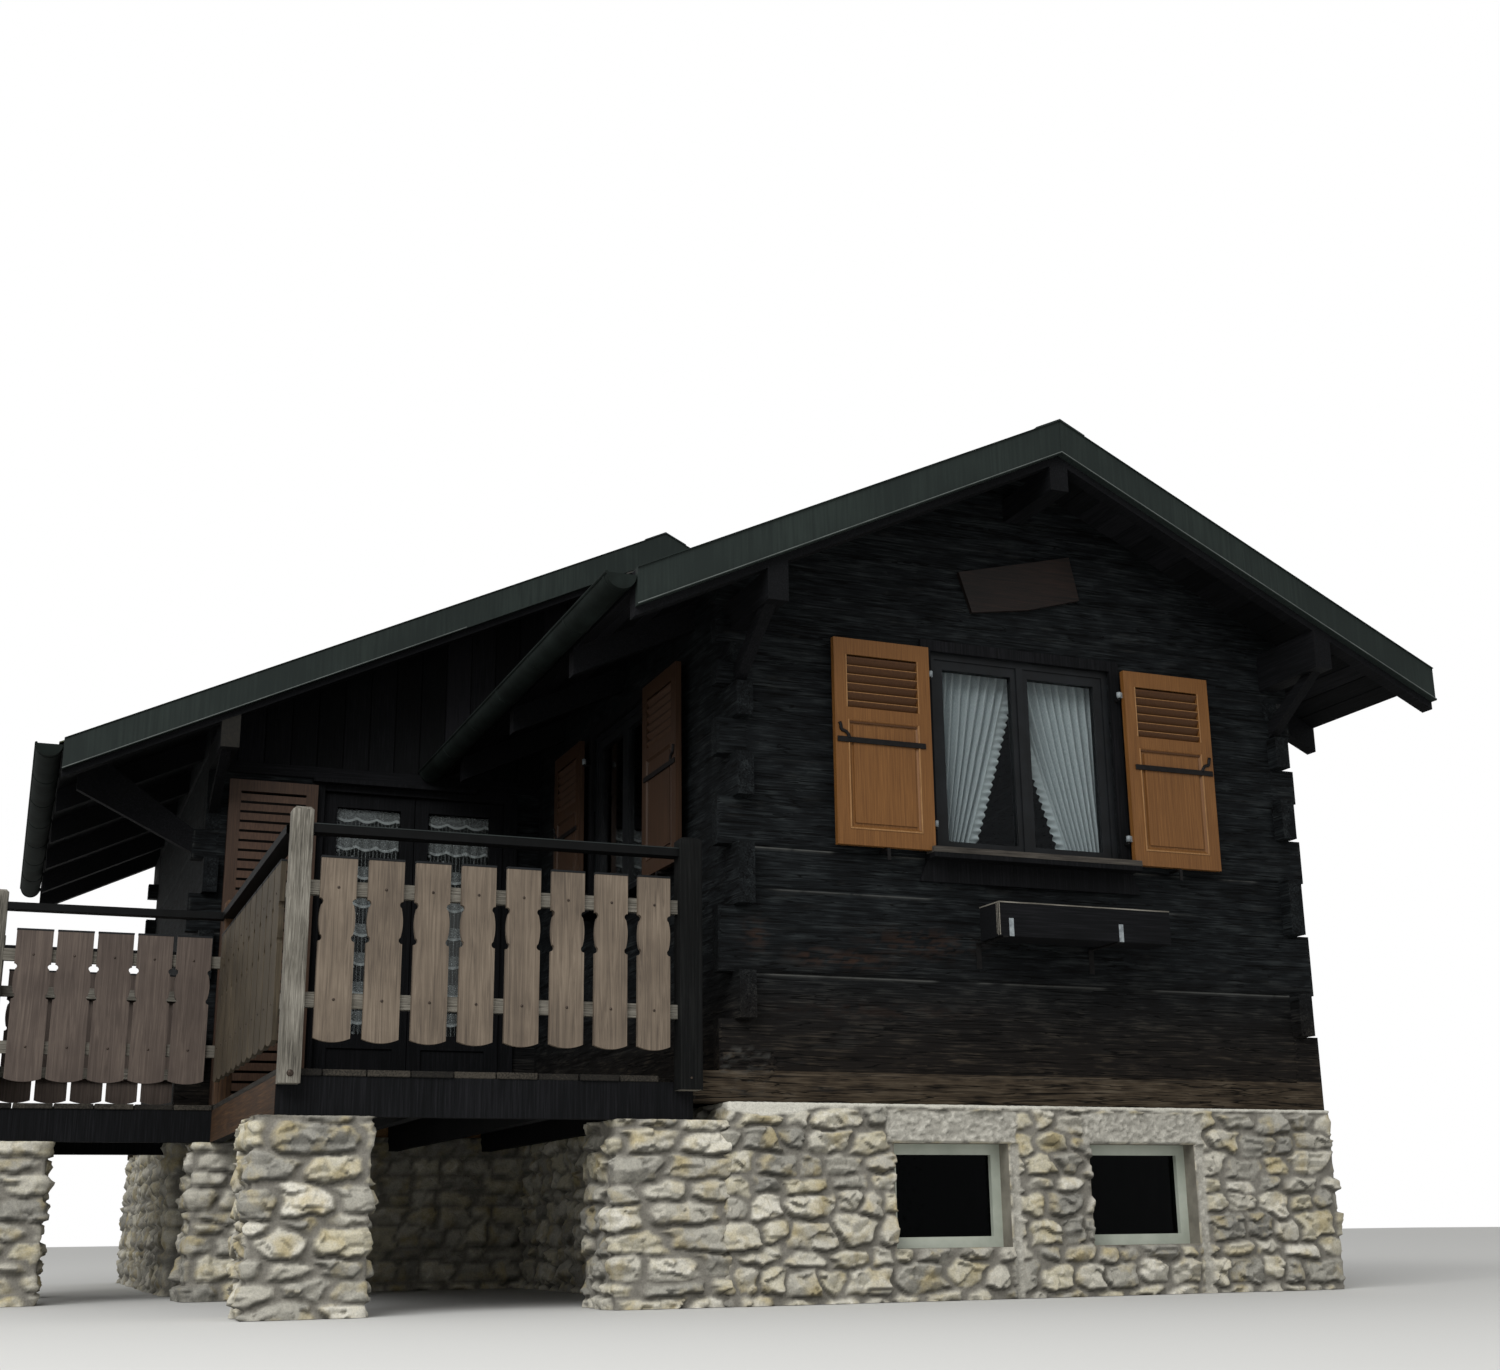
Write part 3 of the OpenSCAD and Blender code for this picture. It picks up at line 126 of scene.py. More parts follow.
def makeStudio():
    v = studioValues
    size, level = v["floorSize"], v["floorLevel"]
    mesh = bpy.data.meshes.new("floor")
    mesh.from_pydata([(-size, -size, level), (size, -size, level), (size, size, level), (-size, size, level)],
                     [], [(0, 1, 2, 3)])
    floor = bpy.data.objects.new("floor", mesh)
    bpy.context.scene.collection.objects.link(floor)
    tree = newMaterial("studio_floor")  # matt and pale, so that only the house's shadow shows on it
    shader = addNode(tree, "BsdfPrincipled", {"Base Color": hexColor(v["floor"]), "Roughness": v["floorRough"]})
    addNode(tree, "OutputMaterial", {"Surface": shader})
    mesh.materials.append(finish["studio_floor"])
    world = bpy.data.worlds.new("world")
    bpy.context.scene.world = world
    world.use_nodes = True
    tree = world.node_tree
    tree.nodes.clear()
    rays = addNode(tree, "LightPath", {}).node.outputs
    light = v["skyLight"]
    for ray, strength in (("Is Camera Ray", v["skyBehind"]), ("Is Transmission Ray", v["skyThroughGlass"])):
        light = addNode(tree, "Mix", {"data_type": "FLOAT", 0: rays[ray], 2: light, 3: strength})
    back = addNode(tree, "Background", {"Color": hexColor(v["sky"]), "Strength": light})
    addNode(tree, "OutputWorld", {"Surface": back})
    lamp = bpy.data.lights.new("lamp", "AREA")
    lamp.energy = v["lampPower"]
    lamp.size = v["lampSize"]
    holder = bpy.data.objects.new("lamp", lamp)
    holder.location = v["lampPlace"]
    holder.rotation_euler = (Vector(v["lampAim"]) - Vector(v["lampPlace"])).to_track_quat("-Z", "Y").to_euler()
    bpy.context.scene.collection.objects.link(holder)


makeStudio()
print("stage: camera and studio")


# Blend from 0 to 1 with level ends: three squares less two cubes of the share
def ease(t):
    t = np.clip(t, 0, 1)
    return t * t * (3 - 2 * t)


# Random number between 0 and 1 for each pair of whole numbers: both are hashed with the seed
def hashed(a, b, seed):
    n = (a * 374761393 + b * 668265263 + seed * 974711) & 0x7fffffff
    n = ((n ^ (n >> 13)) * 1274126177) & 0x7fffffff
    return ((n ^ (n >> 16)) & 0xffff) / 65535


# Random height between 0 and 1: the hashed numbers at whole-number places, blended smoothly in between
def lattice(x, y, seed):
    ix, iy = np.floor(x).astype(np.int64), np.floor(y).astype(np.int64)
    fx, fy = ease(x - ix), ease(y - iy)
    low = hashed(ix, iy, seed) * (1 - fx) + hashed(ix + 1, iy, seed) * fx
    high = hashed(ix, iy + 1, seed) * (1 - fx) + hashed(ix + 1, iy + 1, seed) * fx
    return low * (1 - fy) + high * fy


# Sum of lattice heights, each octave twice as fine and half as high as the last, scaled to 0...1
def rough(x, y, seed, octaves=4):
    total = sum(lattice(x * 2 ** k, y * 2 ** k, seed + 17 * k) / 2 ** k for k in range(octaves))
    return total / sum(1 / 2 ** k for k in range(octaves))


# Broken faces: around each of a scatter of places lies a plane of its own slope, and the nearest one counts
def facets(x, y, seed):
    ix, iy = np.floor(x).astype(np.int64), np.floor(y).astype(np.int64)
    nearest, height = np.full(np.shape(x), 9.0), np.zeros(np.shape(x))
    for a, b in np.ndindex(3, 3):
        cx, cy = ix + a - 1, iy + b - 1
        px, py, slopeX, slopeY, lift = (hashed(cx, cy, seed + k) for k in range(5))
        dx, dy = x - (cx + px), y - (cy + py)
        far = dx ** 2 + dy ** 2
        plane = dx * (slopeX - 0.5) + dy * (slopeY - 0.5) + 0.25 * (lift - 0.5)
        height = np.where(far < nearest, plane, height)
        nearest = np.minimum(far, nearest)
    return height


# Makes a piece from points in millimetres and faces, with values for each point kept as attributes
def makePiece(name, points, faces, material, body="house", values=None, smooth=False, slot=None,
              replaces=(), uv=None):
    mesh = bpy.data.meshes.new(name)
    faces = np.asarray(faces)
    count, sides = faces.shape
    mesh.vertices.add(len(points))
    mesh.vertices.foreach_set("co", toFrame(points).astype(np.float32).ravel())
    mesh.loops.add(count * sides)
    mesh.loops.foreach_set("vertex_index", faces.astype(np.int32).ravel())
    mesh.polygons.add(count)
    mesh.polygons.foreach_set("loop_start", np.arange(0, count * sides, sides, dtype=np.int32))
    mesh.polygons.foreach_set("use_smooth", np.full(count, smooth))
    mesh.update(calc_edges=True)
    for key, value in (values or {}).items():
        mesh.attributes.new(key, "FLOAT", "POINT").data.foreach_set("value", np.asarray(value, np.float32).ravel())
    if uv is not None:
        layer = mesh.uv_layers.new(name="cloth")
        layer.data.foreach_set("uv", np.asarray(uv, np.float32)[faces.ravel()].ravel())
    piece = bpy.data.objects.new(name, mesh)
    bpy.context.scene.collection.objects.link(piece)
    mesh.materials.append(finish[material])
    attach(piece, body)
    if replaces:
        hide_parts(*replaces)
    return piece


# A surface over a grid of places. keep says which cells stay; the faces look the way that du x dv does,
# or the other way with flip
def surface(name, places, material, keep=None, flip=False, values=None, uv=None, **how):
    n, m = places.shape[:2]
    index = np.arange(n * m).reshape(n, m)
    quads = np.stack([index[:-1, :-1], index[1:, :-1], index[1:, 1:], index[:-1, 1:]], -1)
    quads = quads[keep] if keep is not None else quads.reshape(-1, 4)
    if flip:
        quads = quads[:, ::-1]
    used, faces = np.unique(quads, return_inverse=True)
    kept = {k: np.broadcast_to(v, (n, m)).ravel()[used] for k, v in (values or {}).items()}
    uv = None if uv is None else uv.reshape(-1, 2)[used]
    return makePiece(name, places.reshape(-1, 3)[used], faces.reshape(-1, 4), material, values=kept, uv=uv, **how)


# Points of a grid that lie on the rim of the cells that are kept: those with fewer than four kept cells
def rimOf(keep):
    padded = np.zeros((keep.shape[0] + 2, keep.shape[1] + 2), int)
    padded[1:-1, 1:-1] = keep
    return padded[:-1, :-1] + padded[1:, :-1] + padded[:-1, 1:] + padded[1:, 1:] < 4


# Cells of a grid whose middles lie in one of the boxes x0, x1, z0, z1
def within(cellX, cellZ, boxes):
    inside = np.zeros_like(cellX, bool)
    for x0, x1, z0, z1 in boxes:
        inside |= (cellX > x0) & (cellX < x1) & (cellZ > z0) & (cellZ < z1)
    return inside


# Blocks: eight corners each, from arrays of shape (n, 8, 3); the first four run round the low side.
# mirrored puts them in the order that a block needs once its places are mirrored
blockFaces = np.array([[0, 3, 2, 1], [4, 5, 6, 7], [0, 1, 5, 4], [1, 2, 6, 5], [2, 3, 7, 6], [3, 0, 4, 7]])
mirrored = [3, 2, 1, 0, 7, 6, 5, 4]


def blocks(name, corners, material, tone=None, soften=0, values=None, **how):
    corners = np.asarray(corners, float)
    n = len(corners)
    faces = (blockFaces[None] + 8 * np.arange(n)[:, None, None]).reshape(-1, 4)
    values = values if tone is None else {"tone": np.repeat(tone, 8), **(values or {})}
    piece = makePiece(name, corners.reshape(-1, 3), faces, material, values=values, **how)
    if soften:
        bevel = piece.modifiers.new("soften", "BEVEL")
        bevel.width = soften / 1000
        bevel.segments = 1
    return piece


# Corners of straight blocks from their low and high sides: rows of x0, x1, y0, y1, z0, z1
def straight(rows):
    r = np.asarray(rows, float)
    x, y, z = r[:, 0:2], r[:, 2:4], r[:, 4:6]
    order = [(0, 0, 0), (1, 0, 0), (1, 1, 0), (0, 1, 0), (0, 0, 1), (1, 0, 1), (1, 1, 1), (0, 1, 1)]
    return np.stack([np.stack([x[:, i], y[:, j], z[:, k]], -1) for i, j, k in order], 1)


# Corners of a block whose low and high sides run from one height at x0 to another at x1
def sloped(x, y, low, high):
    return [(x[i], y[j], side[i]) for side in (low, high) for i, j in ((0, 0), (1, 0), (1, 1), (0, 1))]


# Places of grid lines: even steps between the marks, with every mark kept as a line
def gridLines(low, high, step, marks=()):
    stops = sorted({round(m, 3) for m in marks if low < m < high} | {low, high})
    parts = [np.linspace(a, b, max(1, int(round((b - a) / step))) + 1)[:-1] for a, b in zip(stops[:-1], stops[1:])]
    return np.concatenate(parts + [[high]])


# Materials. Timber: fibres are drawn as noise stretched along the grain, over slow changes of tone.
# "tone" on a piece lifts or sinks the tone of each board, so that no two boards look the same.
def timber(name, v):
    tree = newMaterial(name)
    place = addNode(tree, "TexCoord", {}, "Object")
    scale = [1000 / v["fibreLong" if axis == v["grain"] else "fibreWide"] for axis in "XYZ"]
    drawn = addNode(tree, "Mapping", {"Vector": place, "Scale": scale})
    fibre = addNode(tree, "TexNoise", {"Vector": drawn, "Scale": 1.0, "Detail": 5.0, "Roughness": 0.62,
                                       "Distortion": v["wave"]})
    slow = addNode(tree, "TexNoise", {"Vector": place, "Scale": 1000 / v["patch"], "Detail": 3.0})
    board = addNode(tree, "Attribute", {"attribute_name": "tone"}, "Fac")
    level = addNode(tree, "Math", {"operation": "MULTIPLY_ADD", 0: board, 1: v["spread"], 2: fibre})
    level = addNode(tree, "Math", {"operation": "MULTIPLY_ADD", 0: slow, 1: v["patchy"], 2: level})
    level = addNode(tree, "Math", {"operation": "SUBTRACT", 0: level, 1: v["patchy"] / 2})
    color = setRamp(addNode(tree, "ValToRGB", {"Fac": level}), zip((0.28, 0.5, 0.72), v["tones"]))
    bump = addNode(tree, "Bump", {"Height": fibre, "Strength": v["bump"], "Distance": 0.004})
    shader = addNode(tree, "BsdfPrincipled", {"Base Color": color, "Normal": bump, "Roughness": v["rough"],
                                              "Specular IOR Level": v.get("shine", 0.3)})
    addNode(tree, "OutputMaterial", {"Surface": shader})


# Hewn logs, tarred and weathered nearly black: adze marks and long checks catch the light. Thin pale lines on
# the arrises under the seams and on the high points of the ridges are painted highlight; pale log tips and the
# rotten place's rim are wear, and bare red-brown wood shows in patches ("bare"). Below earthTop the logs turn
# browner until earthFoot, and below sillTop, on the lowest log, they are brownest. The pairs are mm along and across
hewnValues = {"fibre": (210, 9), "wave": 0.8, "adze": (70 / 0.45, 70 / 1.3), "check": (900, 34),
              "black": ("#070809", "#131618", "#2a2e2f"), "earth": ("#1a1613", "#1a1613", "#40372c"),
              "sill": ("#1c1815", "#40372c", "#574e42"), "wearAndHighlight": "#5d5e5b", "bare": "#34251d",
              "earthTop": 1.75, "earthFoot": 1.0, "earthShare": 0.85, "sillTop": 1.086, "rough": 0.8, "shine": 0.1}


def hewnLogs(name, grain):
    v = hewnValues
    tree = newMaterial(name)
    place = addNode(tree, "TexCoord", {}, "Object")
    drawn = []
    for (along, across), detail, more in ((v["fibre"], 6.0, {"Roughness": 0.6, "Distortion": v["wave"]}),
                                          (v["adze"], 2.0, {}), (v["check"], 3.0, {"Distortion": 0.7})):
        scale = [1000 / (along if axis == grain else across) for axis in "XYZ"]
        stretched = addNode(tree, "Mapping", {"Vector": place, "Scale": scale})
        drawn.append(addNode(tree, "TexNoise", {"Vector": stretched, "Scale": 1.0, "Detail": detail, **more}))
    fibre, adze, split = drawn
    level = addNode(tree, "Math", {"operation": "MULTIPLY_ADD", 0: adze, 1: 0.5, 2: -0.25})
    level = addNode(tree, "Math", {"operation": "ADD", 0: level, 1: fibre})
    color, brown, sill = (setRamp(addNode(tree, "ValToRGB", {"Fac": level}), zip((0.30, 0.52, 0.74), v[key]))
                          for key in ("black", "earth", "sill"))
    height = addNode(tree, "SeparateXYZ", {"Vector": place}, "Z")
    low = addNode(tree, "MapRange", {"interpolation_type": "SMOOTHSTEP", "Value": height, "From Min": v["earthTop"],
                                     "From Max": v["earthFoot"], "To Min": 0.0, "To Max": v["earthShare"]})
    under = addNode(tree, "Math", {"operation": "LESS_THAN", 0: height, 1: v["sillTop"]})
    split = addNode(tree, "Math", {"operation": "SUBTRACT", 0: split, 1: 0.5})
    split = addNode(tree, "Math", {"operation": "ABSOLUTE", 0: split})
    split = addNode(tree, "MapRange", {"Value": split, "From Min": 0.004, "From Max": 0.022, "To Min": 0.12,
                                       "To Max": 1.0})
    bare, wearAndHighlight = (addNode(tree, "Attribute", {"attribute_name": key}, "Fac") for key in ("bare", "wearAndHighlight"))
    # the pale colour is painted highlight on the arrises and ridges, and wear at the log tips and round the rot
    for share, other, blend in ((low, brown, "MIX"), (under, sill, "MIX"), (1.0, split, "MULTIPLY"),
                                (bare, hexColor(v["bare"]), "MIX"), (wearAndHighlight, hexColor(v["wearAndHighlight"]), "MIX")):
        color = addNode(tree, "Mix", {"data_type": "RGBA", "blend_type": blend, 0: share, 6: color, 7: other}, 2)
    normal = None
    for field, strength, distance in ((fibre, 0.55, 0.004), (split, 0.5, 0.004), (adze, 0.5, 0.006)):
        normal = addNode(tree, "Bump", {"Height": field, "Strength": strength, "Distance": distance,
                                        "Normal": normal})
    shader = addNode(tree, "BsdfPrincipled", {"Base Color": color, "Normal": normal, "Roughness": v["rough"],
                                              "Specular IOR Level": v["shine"]})
    addNode(tree, "OutputMaterial", {"Surface": shader})


ways = {"across": "X", "deep": "Y", "upright": "Z"}
for way in ("across", "deep"):
    hewnLogs("hewn_logs_" + way, ways[way])

# Rough-sawn softwood, stained nearly black: soffits, rafters, cladding, frames
darkWood = {"fibreWide": 7, "fibreLong": 260, "wave": 0.3, "patch": 500, "patchy": 0.35, "spread": 0.22,
            "tones": ("#08090a", "#0f1012", "#1c1c1f"), "rough": 0.78, "bump": 0.5, "shine": 0.1}
# Planed softwood under a glaze: even, silky, with fine upright grain
glazedWood = {"grain": "Z", "fibreWide": 5, "fibreLong": 300, "wave": 0.2, "patch": 420, "patchy": 0.22,
              "spread": 0.1, "bump": 0.15}
# Its slats and their front edges, with painted light and shade: the tan slats are painted dark as shade and
# their edges pale as painted highlight; the red-brown edges are painted near black as shade between the slats,
# and the slats in shade are painted dark as shade behind the door's broad slat fronts
slatWood = {**glazedWood, "fibreLong": 60, "patchy": 0.2, "rough": 0.5}
# Wood-grained boards: taupe, matt, with streaks that run up each board
boardWood = {"grain": "Z", "fibreWide": 24, "fibreLong": 620, "wave": 2.4, "patch": 260, "patchy": 0.5,
             "spread": 0.16, "rough": 0.62, "bump": 0.08}
# Softwood left bare for years: silver-grey, furrowed where the soft wood has gone
greyWood = {"fibreWide": 5, "fibreLong": 140, "wave": 0.4, "patch": 240, "patchy": 0.45, "spread": 0.2,
            "tones": ("#413e38", "#6f6b62", "#98948a"), "rough": 0.85, "bump": 0.8}
# Oiled softwood: warm brown, with open grain
oiledWood = {"fibreWide": 8, "fibreLong": 300, "wave": 0.5, "patch": 300, "patchy": 0.3, "spread": 0.1,
             "rough": 0.7, "bump": 0.3}
woods = {
    **{"stained_softwood_" + way: {**darkWood, "grain": axis} for way, axis in ways.items()},
    **{"weathered_softwood_" + way: {**greyWood, "grain": ways[way]} for way in ("across", "upright")},
    "glazed_softwood_tan": {**glazedWood, "tones": ("#5d3a18", "#6f4922", "#83592e"), "rough": 0.45},
    "glazed_softwood_red_brown": {**glazedWood, "tones": ("#2a1b11", "#3a2719", "#4a3424"), "rough": 0.5},
    "glazed_slats_tan": {**slatWood, "tones": ("#3b220c", "#482b10", "#543617")},
    "glazed_slat_edges_tan": {**slatWood, "tones": ("#7d5730", "#8f6940", "#a27c52")},
    "glazed_slats_red_brown": {**slatWood, "tones": ("#36241a", "#463123", "#58402f")},
    "glazed_slat_edges_red_brown": {**slatWood, "tones": ("#0c0806", "#140d09", "#1f150f")},
    "glazed_slats_in_shade": {**slatWood, "tones": ("#0a0705", "#0f0a07", "#150f0b")},
    "composite_boards_taupe": {**boardWood, "tones": ("#544a40", "#6b5f52", "#807364")},
    "softwood_boards_olive_brown": {**boardWood, "tones": ("#2b251b", "#40382b", "#574d3d"), "bump": 0.3},
    "composite_boards_umber": {**boardWood, "tones": ("#443a34", "#544942", "#675b52")},
    "deck_boards_dirty": {**greyWood, "grain": "Y", "fibreWide": 8, "fibreLong": 220,
                          "tones": ("#12100e", "#24211c", "#454038")},
    "weathered_sill_board": {**greyWood, "grain": "X", "tones": ("#26231f", "#3e3a35", "#56514a")},
    "oiled_softwood_orange": {**oiledWood, "grain": "Z", "tones": ("#2e1f12", "#422d1b", "#5a4028")},
    "oiled_softwood_beam": {**oiledWood, "grain": "Y", "tones": ("#271a0e", "#3c2817", "#553b22")},
    "oiled_softwood_dark": {**darkWood, "grain": "Z", "tones": ("#090a0a", "#111212", "#1f201f")},
    "planed_spruce_floor": {**oiledWood, "grain": "Y", "fibreWide": 9, "fibreLong": 500, "patch": 600,
                            "tones": ("#7d5b36", "#99744a", "#b48f61"), "rough": 0.5, "bump": 0.2},
    "planed_larch_dark": {**oiledWood, "grain": "X", "fibreWide": 9, "wave": 1.0, "patchy": 0.4,
                          "tones": ("#0c0806", "#160f0c", "#261914"), "rough": 0.6},
    "sawn_end_grain": {**oiledWood, "grain": "Z", "fibreWide": 30, "fibreLong": 40, "wave": 2.0, "patch": 60,
                       "tones": ("#100f0c", "#181612", "#201d17"), "rough": 0.85, "bump": 0.4}}
for name, v in woods.items():
    timber(name, v)
print("stage: timbers")

# Rubble: limestone, one tone for each stone ("tone") under ochre stains, with grey mortar between ("joint").
# Faces turned up are painted paler and those turned down painted darker ("under"), painted light and shade from their
# slope; fresh mortar is lime-white
rubbleValues = {"tones": ("#8f8d85", "#aaa79c", "#bdb9ac", "#cdc9bb", "#c4bda5", "#dbd7ca"), "ochre": "#b5a577",
                "mortar": "#97938a", "mortarDark": "#6d6a61", "lime": "#dbd8cc", "grit": 9, "vein": 60,
                "stain": 140, "paintedLightUp": 1.12, "paintedShadeDown": 0.3, "gritShare": 0.7, "rough": 0.92}


def rubble(name):
    v = rubbleValues
    tree = newMaterial(name)
    place = addNode(tree, "TexCoord", {}, "Object")
    grit, vein, stain = (addNode(tree, "TexNoise", {
        "Vector": place, "Scale": 1000 / v[key], "Detail": detail, **more}) for key, detail, more in (
            ("grit", 4.0, {"Roughness": 0.65}), ("vein", 5.0, {"Distortion": 1.2}), ("stain", 4.0, {})))
    tone, joint, under, lime = (addNode(tree, "Attribute", {"attribute_name": key}, "Fac")
                                for key in ("tone", "joint", "under", "lime"))
    level = addNode(tree, "Math", {"operation": "MULTIPLY_ADD", 0: vein, 1: 0.45, 2: -0.22})
    level = addNode(tree, "Math", {"operation": "ADD", 0: level, 1: tone})
    color = setRamp(addNode(tree, "ValToRGB", {"Fac": level}), zip(np.linspace(0, 1, len(v["tones"])), v["tones"]))
    stain = addNode(tree, "MapRange", {"Value": stain, "From Min": 0.5, "From Max": 0.68, "To Max": 0.75})
    mortar = addNode(tree, "Mix", {"data_type": "RGBA", 0: vein, 6: hexColor(v["mortarDark"]),
                                   7: hexColor(v["mortar"])}, 2)
    # painted light and shade: faces turned up are lightened and faces turned down darkened by their slope
    shade = addNode(tree, "MapRange", {"Value": under, "To Min": v["paintedLightUp"], "To Max": v["paintedShadeDown"]})
    dirt = addNode(tree, "MapRange", {"Value": grit, "From Min": 0.3, "From Max": 0.6, "To Min": 0.62, "To Max": 1.0})
    for share, other, blend in ((stain, hexColor(v["ochre"]), "MIX"), (joint, mortar, "MIX"), (1.0, shade, "MULTIPLY"),
                                (lime, hexColor(v["lime"]), "MIX"), (v["gritShare"], dirt, "MULTIPLY")):
        color = addNode(tree, "Mix", {"data_type": "RGBA", "blend_type": blend, 0: share, 6: color, 7: other}, 2)
    normal = None
    for field, distance in ((grit, 0.004), (vein, 0.012)):
        normal = addNode(tree, "Bump", {"Height": field, "Strength": 0.6, "Distance": distance, "Normal": normal})
    shader = addNode(tree, "BsdfPrincipled", {"Base Color": color, "Normal": normal, "Roughness": v["rough"]})
    addNode(tree, "OutputMaterial", {"Surface": shader})


rubble("limestone_rubble")


# A coated or cast surface of one kind: two tones that change slowly, with fine grain in the surface. On the
# slates each has its own shade ("tone"), and tufts of moss grow where "moss" says that it is damp
def coated(name, v):
    tree = newMaterial(name)
    place = addNode(tree, "TexCoord", {}, "Object")
    slow = addNode(tree, "TexNoise", {"Vector": place, "Scale": 1000 / v["patch"], "Detail": 4.0, "Roughness": 0.6})
    fine = addNode(tree, "TexNoise", {"Vector": place, "Scale": 1000 / v["grain"], "Detail": 3.0})
    share = addNode(tree, "MapRange", {"Value": slow, "From Min": 0.35, "From Max": 0.65})
    color = addNode(tree, "Mix", {"data_type": "RGBA", 0: share, 6: hexColor(v["dark"]), 7: hexColor(v["pale"])}, 2)
    if "moss" in v:
        tone, damp = (addNode(tree, "Attribute", {"attribute_name": key}, "Fac") for key in ("tone", "moss"))
        shade = addNode(tree, "Math", {"operation": "MULTIPLY_ADD", 0: tone, 1: v["spread"], 2: 1.0})
        tuft = addNode(tree, "TexNoise", {"Vector": place, "Scale": 1000 / v["tuft"], "Detail": 6.0,
                                          "Roughness": 0.7})
        moss = addNode(tree, "Math", {"operation": "MULTIPLY_ADD", 0: damp, 1: 0.22, 2: tuft})
        moss = addNode(tree, "MapRange", {"Value": moss, "From Min": 0.66, "From Max": 0.73})
        for share, other, blend in ((1.0, shade, "MULTIPLY"), (moss, hexColor(v["moss"]), "MIX")):
            color = addNode(tree, "Mix", {"data_type": "RGBA", "blend_type": blend, 0: share, 6: color, 7: other}, 2)
    bump = addNode(tree, "Bump", {"Height": fine, "Strength": v["bump"], "Distance": 0.002})
    shader = addNode(tree, "BsdfPrincipled", {"Base Color": color, "Normal": bump, "Roughness": v["rough"],
                                              "Metallic": v.get("metal", 0.0),
                                              "Specular IOR Level": v.get("shine", 0.5)})
    addNode(tree, "OutputMaterial", {"Surface": shader})


coats = {
    # Cement mortar and cast concrete: matt grey, gritty
    "lime_cement_mortar": {"dark": "#6b675d", "pale": "#8d897d", "patch": 160, "grain": 5, "rough": 0.95, "bump": 0.7},
    "cast_concrete": {"dark": "#77746c", "pale": "#8f8c83", "patch": 400, "grain": 8, "rough": 0.9, "bump": 0.4},
    # Steel sheet with a dark green-grey coating, rolled and folded: a soft sheen, slight dirt, worn edges
    "coated_steel_sheet": {"dark": "#1d2324", "pale": "#272e2c", "patch": 350, "grain": 14, "rough": 0.5,
                           "bump": 0.05, "shine": 0.3},
    "coated_gutter_sheet": {"dark": "#151917", "pale": "#1f2523", "patch": 200, "grain": 12, "rough": 0.8,
                            "bump": 0.05, "shine": 0.06},
    "worn_sheet_edge": {"dark": "#474d4a", "pale": "#5f6562", "patch": 120, "grain": 6, "rough": 0.45, "bump": 0.1},
    # Fibre-cement slates: matt, grey-brown, mossy where they stay damp; and the moss that stands on them
    "fibre_cement_slates": {"dark": "#2d2c2a", "pale": "#42403c", "patch": 90, "grain": 4, "rough": 0.88,
                            "bump": 0.5, "spread": 0.35, "moss": "#444c24", "tuft": 70},
    "moss": {"dark": "#47501d", "pale": "#7a7a2f", "patch": 25, "grain": 4, "rough": 1.0, "bump": 1.0},
    # Wrought iron under old black paint, and zinc-plated steel of straps and screws
    "painted_iron": {"dark": "#090808", "pale": "#141212", "patch": 40, "grain": 5, "rough": 0.6, "bump": 0.3,
                     "shine": 0.2},
    "dull_zinc_strap": {"dark": "#6d7478", "pale": "#9aa2a5", "patch": 30, "grain": 4, "rough": 0.55, "bump": 0.2},
    "weathered_screws": {"dark": "#2a221c", "pale": "#4b4037", "patch": 8, "grain": 3, "rough": 0.5, "bump": 0.2,
                         "metal": 0.6},
    # Paint and coatings on rails and sashes: smooth, with a trace of grime
    "black_coated_handrail": {"dark": "#050606", "pale": "#0b0c0d", "patch": 120, "grain": 8, "rough": 0.55,
                              "bump": 0.1, "shine": 0.12},
    "painted_sash_charcoal": {"dark": "#0c0e10", "pale": "#15181b", "patch": 160, "grain": 8, "rough": 0.55,
                              "bump": 0.15, "shine": 0.25},
    "painted_sash_pale_green": {"dark": "#a9b0a3", "pale": "#bfc5b8", "patch": 200, "grain": 10, "rough": 0.5,
                                "bump": 0.1},
    # Garden soil: dark, crumbly
    "garden_soil": {"dark": "#1c140e", "pale": "#3b2c20", "patch": 22, "grain": 5, "rough": 1.0, "bump": 1.0}}
for name, v in coats.items():
    coated(name, v)

# Coated sheet of the barge boards, with grime washed down it in upright streaks that come and go
bargeSheet = {"base": "#1f2624", "streak": "#28302d", "wide": 16, "long": 420, "slow": 1000 / 2.2, "rough": 0.65,
              "shine": 0.15}


def streaked(name, v):
    tree = newMaterial(name)
    place = addNode(tree, "TexCoord", {}, "Object")
    drawn = addNode(tree, "Mapping", {"Vector": place, "Scale": [1000 / v[k] for k in ("wide", "wide", "long")]})
    streak = addNode(tree, "TexNoise", {"Vector": drawn, "Scale": 1.0, "Detail": 4.0})
    slow = addNode(tree, "TexNoise", {"Vector": place, "Scale": 1000 / v["slow"], "Detail": 3.0})
    level = addNode(tree, "Math", {"operation": "MULTIPLY", 0: streak, 1: slow})
    share = addNode(tree, "MapRange", {"Value": level, "From Min": 0.2, "From Max": 0.4})
    color = addNode(tree, "Mix", {"data_type": "RGBA", 0: share, 6: hexColor(v["base"]), 7: hexColor(v["streak"])}, 2)
    shader = addNode(tree, "BsdfPrincipled", {"Base Color": color, "Roughness": v["rough"],
                                              "Specular IOR Level": v["shine"]})
    addNode(tree, "OutputMaterial", {"Surface": shader})


streaked("coated_barge_sheet", bargeSheet)
print("stage: stone, metal and paint")

# Float glass: clear with a trace of green. Below the height "cellar" its tint and sheen are the low ones, dark as
# painted shade of the dark cellar behind; the sheen, a grey specular tint, dims reflections as a painted dim
# reflection. Lamps and indirect light pass through
glassValues = {"tint": "#ebedec", "low": "#4a4e4b", "rough": 0.02, "index": 1.5, "sheen": "#8a9096",
               "lowSheen": "#4c5052", "cellar": 0.85}


